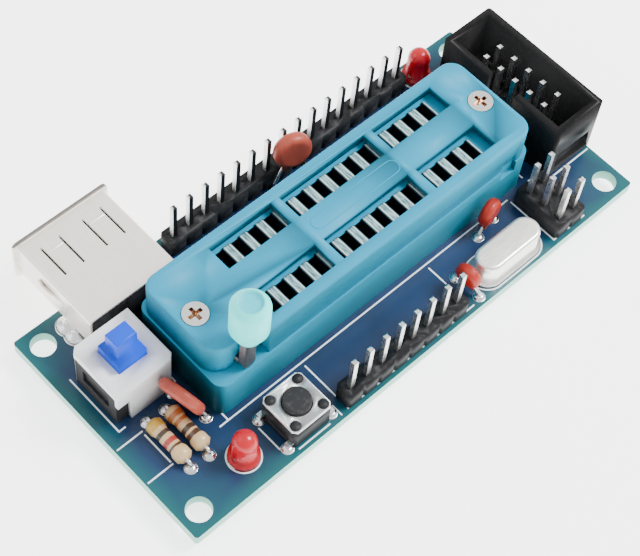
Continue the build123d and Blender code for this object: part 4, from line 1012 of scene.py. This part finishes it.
class PROGRAMMER_OT_lever(bpy.types.Operator):
    """Lever and knob of the test socket"""

    bl_idname = "programmer.lever"
    bl_label = "Lever"

    def execute(self, context):
        _, parts, _ = settings()
        colour = parts.knob
        glow = {"Subsurface Weight": 0.25, "Subsurface Scale": 1.2 * MM, "Specular IOR Level": 0.3}
        knob = Paint("knob_aqua", glow)
        height = paint_height(knob, "lever_knob")
        fine = knob.noise(6.0, 3.0)
        tone = knob.vary(height, colour, 0.94, 1.04)
        centre = (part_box("lever_knob")[0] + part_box("lever_knob")[1]) / 2 / MM
        off_x = knob.axis("X") - centre.x
        off_y = knob.axis("Y") - centre.y
        dish = 1 - (off_x * off_x + off_y * off_y).ramp(1.8, 2.6)
        up = knob.axis("Z", knob.facing).ramp(0.5, 0.9)
        knob.put("Base Color", knob.mix(dish * up * 0.6, tone, shade(parts.socket, 1.35)))
        knob.put("Roughness", 0.34 + fine * 0.12)
        knob.bump(fine + knob.noise(1.2, 2.0), 0.02 * MM)
        eased("lever_knob", "knob", knob, 0.3 * MM, angle=20, smooth=60)
        steel = plated("lever_steel", (0.12, 0.12, 0.125), 0.4, (0.2, 1, 0.2), (0.06, 0.05, 0.045))
        eased("socket_lever", "lever", steel, 0.12 * MM)
        return {"FINISHED"}


def paint_height(paint, node):
    """0 at the bottom of a CAD node and 1 at its top."""
    low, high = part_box(node)
    return paint.axis("Z").ramp(low.z / MM, high.z / MM)


# ---------------------------------------------------------------- usb receptacle
def shell_paint():
    """Warm tinned sheet with drawn streaks, fingerprints and a painted shadow line along the top
    lip of the mouth.
    """
    paint = Paint("shell_tin", {"Metallic": 0.4, "Specular IOR Level": 0.6})
    streaks = paint.noise(4.0, 4.0, (1, 0.08, 1))
    prints = paint.noise(0.45, 5.0).ramp(0.48, 0.72)
    tone = paint.mix(streaks.ramp(0.3, 0.7), (0.96, 0.88, 0.79), (1.0, 0.95, 0.89))
    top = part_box("usb_shell")[1].z / MM
    # Painted shadow: the top 0.4 mm of the shell is darkened, a shadow line along the lip of the
    # mouth
    lip = paint.axis("Z").ramp(top - 0.42, top - 0.36)
    tone = paint.mix(prints * 0.25, tone, (0.82, 0.73, 0.64))
    paint.put("Base Color", paint.mix(lip * 0.85, tone, (0.02, 0.018, 0.015)))
    paint.put("Roughness", 0.26 + prints * 0.14 + streaks * 0.08)
    paint.bump(streaks * 0.6 + prints * 0.5, 0.01 * MM)
    return paint


def crease(centre, size, peak):
    """A pressed ridge across a sheet, highest along its middle."""
    ridge = block(centre, size)
    pick(ridge, "FACE", facing(FACE_UP))
    bpy.ops.mesh.inset(thickness=min(size[0], size[1]) * 0.3)
    bpy.ops.transform.translate(value=(0, 0, peak))
    modify(ridge, "BEVEL", width=peak * 0.4, segments=2, limit_method="ANGLE", angle_limit=0.3)
    soften(ridge, 60)
    return ridge


def side_spring(x, y, z, sign):
    """A leaf sprung out of the side of the shell, bowed outward along its middle."""
    leaf = block((x, y, z), (0.3 * MM, 5.0 * MM, 1.8 * MM))
    pick(leaf, "FACE", everything)
    bpy.ops.mesh.subdivide(number_cuts=4)
    mid = y + 1.2 * MM
    for reach, out in ((1.9 * MM, 0.16 * MM), (1.1 * MM, 0.2 * MM)):

        def near(vertex, reach=reach):
            return abs(vertex.co.y - mid) < reach

        shift(leaf, near, (sign * out, 0, 0))
    modify(leaf, "BEVEL", width=0.06 * MM, segments=2, limit_method="ANGLE", angle_limit=0.6)
    soften(leaf, 60)
    return leaf


class PROGRAMMER_OT_usb(bpy.types.Operator):
    """USB receptacle"""

    bl_idname = "programmer.usb"
    bl_label = "USB receptacle"

    def execute(self, context):
        tin = shell_paint()
        eased("usb_shell", "usb_case", tin, 0.07 * MM)
        left, right, _, back = corners_of("usb_shell")
        centre = (left + right) / 2
        sheet_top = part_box("usb_insulator")[1].z + 0.35 * MM
        creases = [
            crease(
                (centre + side * 3.1 * MM, back - 3.2 * MM, sheet_top),
                (2.3 * MM, 0.34 * MM, 0.02 * MM),
                0.04 * MM,
            )
            for side in (-1, 1)
        ]
        settle(joined(*creases), "usb_creases", "board", tin)
        wall_left, wall_right = left + 0.55 * MM, right - 0.55 * MM
        leaves = [
            side_spring(wall_left, back - 7.0 * MM, TOP + 4.3 * MM, -1),
            side_spring(wall_right, back - 7.0 * MM, TOP + 4.3 * MM, 1),
        ]
        settle(joined(*leaves), "usb_side_springs", "board", tin)
        black = black_paint("insulator_black", 0.014, 0.4)
        eased("usb_insulator", "usb_block", black, 0.08 * MM)
        gold = plated("contact_gold", (0.83, 0.62, 0.28), 0.2, (1, 0.1, 1))
        finish_nodes(gold, "usb_contacts")
        return {"FINISHED"}


# ---------------------------------------------------------------- switch and reset key
class PROGRAMMER_OT_switch(bpy.types.Operator):
    """Power switch"""

    bl_idname = "programmer.switch"
    bl_label = "Power switch"

    def execute(self, context):
        _, parts, _ = settings()
        white = moulded("switch_white", display(244, 245, 246, 0.9), 0.4, 0.8, 0.03)
        blue = moulded("key_blue", parts.key, 0.35, 0.6, 0.1)
        black = black_paint("switch_black", 0.02, 0.45)
        eased("switch_housing", "switch_case", white, 0.1 * MM)
        eased("switch_plunger", "power_key", blue, 0.09 * MM)
        finish_nodes(black, "switch_base")
        spring = plated("spring_steel", (0.62, 0.62, 0.63), 0.25)
        finish_nodes(spring, "switch_spring", "switch_terminals")
        return {"FINISHED"}


class PROGRAMMER_OT_reset(bpy.types.Operator):
    """Reset key"""

    bl_idname = "programmer.reset"
    bl_label = "Reset key"

    def execute(self, context):
        plate = plated("reset_plate", (0.92, 0.93, 0.94), 0.36, (0.12, 1, 1), worn=0.1)
        plate.put("Metallic", 0.55)
        black = black_paint("key_black", 0.022, 0.4)
        eased("reset_cover", "reset_plate", plate, 0.07 * MM)
        eased("reset_base", "reset_case", black, 0.07 * MM)
        eased("reset_button", "reset_cap", black, 0.1 * MM, angle=50)
        steel = plated("terminal_tin", (0.8, 0.8, 0.8), 0.2)
        finish_nodes(steel, "reset_terminals", "reset_dome")
        return {"FINISHED"}


# ---------------------------------------------------------------- leaded parts
def resistor_paint(name, node, lacquer, rings):
    """Tan lacquer with painted rings along the body, counted from the back end."""
    paint = Paint(name, {"Coat Weight": 0.25, "Coat Roughness": 0.15})
    _, _, front, back = corners_of(node)
    wobble = (paint.noise(2.0, 2.0) - 0.5) * 0.03
    along = (back / MM - paint.axis("Y")) / ((back - front) / MM) + wobble
    drift = paint.noise(1.2, 3.0)
    tone = paint.vary(drift, lacquer, 0.82, 1.1)
    for place, half_width, colour in rings:
        ring = along.band(place - half_width, place + half_width, 0.012)
        tone = paint.mix(ring * 0.94, tone, colour)
    paint.put("Base Color", tone)
    paint.put("Roughness", 0.3 + drift * 0.15)
    paint.bump(drift + paint.noise(4.0, 2.0) * 0.3, 0.03 * MM)
    return paint


class PROGRAMMER_OT_resistors(bpy.types.Operator):
    """Two resistors"""

    bl_idname = "programmer.resistors"
    bl_label = "Resistors"

    def execute(self, context):
        _, parts, _ = settings()
        gold, black, red = display(240, 190, 60), display(34, 20, 20), display(200, 30, 40)
        orange, brown = display(214, 120, 52), display(74, 36, 26)
        bands = {
            "left": [
                (0.13, 0.09, gold),
                (0.36, 0.04, black),
                (0.56, 0.045, red),
                (0.7, 0.02, brown),
            ],
            "right": [
                (0.2, 0.05, orange),
                (0.34, 0.035, orange),
                (0.55, 0.045, black),
                (0.7, 0.045, brown),
            ],
        }
        wire = plated("wire_tin", (0.8, 0.79, 0.78), 0.2, (1, 1, 0.2))
        for side, rings in bands.items():
            node = f"{side}_resistor"
            paint = resistor_paint(f"{side}_lacquer", node, parts.lacquer, rings)
            eased(node, f"{node}_body", paint, 0.25 * MM, angle=14, smooth=70)
        finish_nodes(wire, *nodes_ending("_leads"))
        return {"FINISHED"}


class PROGRAMMER_OT_lamps(bpy.types.Operator):
    """Two red lamps"""

    bl_idname = "programmer.lamps"
    bl_label = "Lamps"

    def execute(self, context):
        _, parts, _ = settings()
        constants = {
            "Transmission Weight": 0.25,
            "IOR": 1.5,
            "Specular IOR Level": 0.35,
            "Subsurface Weight": 0.3,
            "Subsurface Scale": 1.0 * MM,
        }
        paint = Paint("lamp_epoxy", constants)
        flange = 1 - paint.axis("Z").ramp(TOP / MM + 0.7, TOP / MM + 1.6)
        swirl = paint.noise(0.9, 3.0)
        tone = paint.vary(swirl, parts.lamp, 0.85, 1.15)
        paint.put("Base Color", paint.mix(flange * 0.45, tone, shade(parts.lamp, 0.6)))
        paint.put("Roughness", 0.16 + swirl * 0.14)
        paint.bump(swirl, 0.03 * MM)
        for side in ("front", "back"):
            lamp = f"{side}_lamp"
            eased(f"{lamp}_lens", lamp, paint, 0.08 * MM, angle=40, smooth=60)
        return {"FINISHED"}


class PROGRAMMER_OT_crystal(bpy.types.Operator):
    """Crystal"""

    bl_idname = "programmer.crystal"
    bl_label = "Crystal"

    def execute(self, context):
        can = plated("crystal_nickel", (0.96, 0.93, 0.88), 0.26, (0.1, 1, 1), worn=0.12)
        can.put("Metallic", 0.8)
        eased("crystal_can", "crystal_case", can, 0.1 * MM, angle=50, smooth=50)
        finish_nodes(black_paint("seal_black", 0.03, 0.5), "crystal_base")
        return {"FINISHED"}


def dipped_paint(name, colour):
    """Dipped ceramic: thick glossy coat with runs, darker in scattered pores."""
    paint = Paint(name, {"Coat Weight": 0.15, "Coat Roughness": 0.25, "Specular IOR Level": 0.3})
    runs = paint.noise(0.9, 3.0, (1, 1, 0.4))
    pores = paint.noise(6.0, 2.0)
    tone = paint.vary(runs.ramp(0.3, 0.7), colour, 0.84, 1.14)
    paint.put("Base Color", paint.mix(pores.ramp(0.6, 0.75) * 0.4, tone, shade(colour, 0.6)))
    paint.put("Roughness", 0.42 + pores * 0.12)
    paint.bump(runs + pores * 0.15, 0.06 * MM)
    return paint


class PROGRAMMER_OT_capacitors(bpy.types.Operator):
    """Four disc capacitors"""

    bl_idname = "programmer.capacitors"
    bl_label = "Capacitors"

    def execute(self, context):
        _, parts, _ = settings()
        brown = dipped_paint("brown_dip", parts.brown_disc)
        orange = dipped_paint("orange_dip", parts.orange_disc)
        discs = {"power": brown, "socket": brown, "crystal_left": orange, "crystal_right": orange}
        for name, paint in discs.items():
            node = f"{name}_capacitor"
            eased(node, f"{name}_disc", paint, 0.1 * MM, angle=50, smooth=70)
        return {"FINISHED"}


# ---------------------------------------------------------------- stage
def area_light(name, place, size, power):
    """A large soft light that looks at the middle of the board."""
    light = bpy.data.lights.new(name, "AREA")
    light.shape = "DISK"
    light.size = size
    light.energy = power
    lamp = bpy.data.objects.new(name, light)
    lamp.location = place
    lamp.rotation_mode = "QUATERNION"
    lamp.rotation_quaternion = (-Vector(place)).to_track_quat("-Z", "Y")
    bpy.context.scene.collection.objects.link(lamp)


class PROGRAMMER_OT_stage(bpy.types.Operator):
    """Camera, floor and lights"""

    bl_idname = "programmer.stage"
    bl_label = "Stage"

    def execute(self, context):
        _, _, stage = settings()
        alone()
        floor_z = CAD_BOX[0].z
        bpy.ops.mesh.primitive_plane_add(size=FLOOR_SIDE, location=(0, 0, floor_z))
        floor = bpy.context.object
        floor.name = "floor"
        pick(floor, "FACE", everything)
        bpy.ops.mesh.subdivide(number_cuts=3)
        bpy.ops.object.mode_set(mode="OBJECT")
        bpy.ops.object.transform_apply(location=True)
        glow = {"Emission Color": stage.floor, "Emission Strength": stage.floor_glow}
        paint = Paint("floor_white", {"Roughness": 0.9, "Specular IOR Level": 0.1, **glow})
        dust = paint.noise(0.02, 3.0)
        paint.put("Base Color", paint.mix(dust, shade(stage.floor, 0.985), stage.floor))
        dress(floor, paint)
        camera = bpy.data.cameras.new("camera")
        camera.lens = stage.lens
        camera.sensor_width = 36
        camera.clip_start = 0.005
        camera.clip_end = 10
        view = bpy.data.objects.new("camera", camera)
        sight = Vector(stage.target) - Vector(stage.eye)
        level = sight.to_track_quat("-Z", "Y").to_matrix()
        turned = level @ Matrix.Rotation(stage.roll, 3, "Z")
        view.matrix_world = Matrix.Translation(stage.eye) @ turned.to_4x4()
        bpy.context.scene.collection.objects.link(view)
        bpy.context.scene.camera = view
        area_light("key", (0.3, -0.16, 0.44), 0.22, stage.key_power)
        area_light("fill", (-0.3, 0.25, 0.35), 0.35, stage.fill_power)
        world = bpy.data.worlds.new("studio")
        world.use_nodes = True
        background = world.node_tree.nodes["Background"]
        background.inputs["Color"].default_value = (1, 1, 1, 1)
        background.inputs["Strength"].default_value = stage.sky
        bpy.context.scene.world = world
        return {"FINISHED"}


class PROGRAMMER_PT_panel(bpy.types.Panel):
    """Lists the pieces of the board"""

    bl_label = "Programmer board"
    bl_idname = "PROGRAMMER_PT_panel"
    bl_space_type = "VIEW_3D"
    bl_region_type = "UI"
    bl_category = "Programmer board"

    def draw(self, context):
        layout = self.layout
        for group in settings():
            for name in group.bl_rna.properties.keys():
                if name not in ("rna_type", "name"):
                    layout.prop(group, name)
        for operator in OPERATORS:
            layout.operator(operator.bl_idname)


OPERATORS = (
    PROGRAMMER_OT_board,
    PROGRAMMER_OT_print,
    PROGRAMMER_OT_pads,
    PROGRAMMER_OT_solder,
    PROGRAMMER_OT_headers,
    PROGRAMMER_OT_socket,
    PROGRAMMER_OT_lever,
    PROGRAMMER_OT_usb,
    PROGRAMMER_OT_switch,
    PROGRAMMER_OT_reset,
    PROGRAMMER_OT_resistors,
    PROGRAMMER_OT_lamps,
    PROGRAMMER_OT_crystal,
    PROGRAMMER_OT_capacitors,
    PROGRAMMER_OT_stage,
)
GROUPS = (BoardSettings, PartSettings, StageSettings)


def register():
    """Adds the settings, operators and panel."""
    for group in (*GROUPS, *OPERATORS, PROGRAMMER_PT_panel):
        bpy.utils.register_class(group)
    bpy.types.Scene.programmer_board = PointerProperty(type=BoardSettings)
    bpy.types.Scene.programmer_parts = PointerProperty(type=PartSettings)
    bpy.types.Scene.programmer_stage = PointerProperty(type=StageSettings)


def unregister():
    """Takes them away again."""
    del bpy.types.Scene.programmer_board
    del bpy.types.Scene.programmer_parts
    del bpy.types.Scene.programmer_stage
    for group in reversed((*GROUPS, *OPERATORS, PROGRAMMER_PT_panel)):
        bpy.utils.unregister_class(group)


def main():
    """Makes every piece."""
    register()
    for operator in OPERATORS:
        getattr(bpy.ops.programmer, operator.bl_idname.split(".")[1])()


if __name__ == "__main__":
    main()
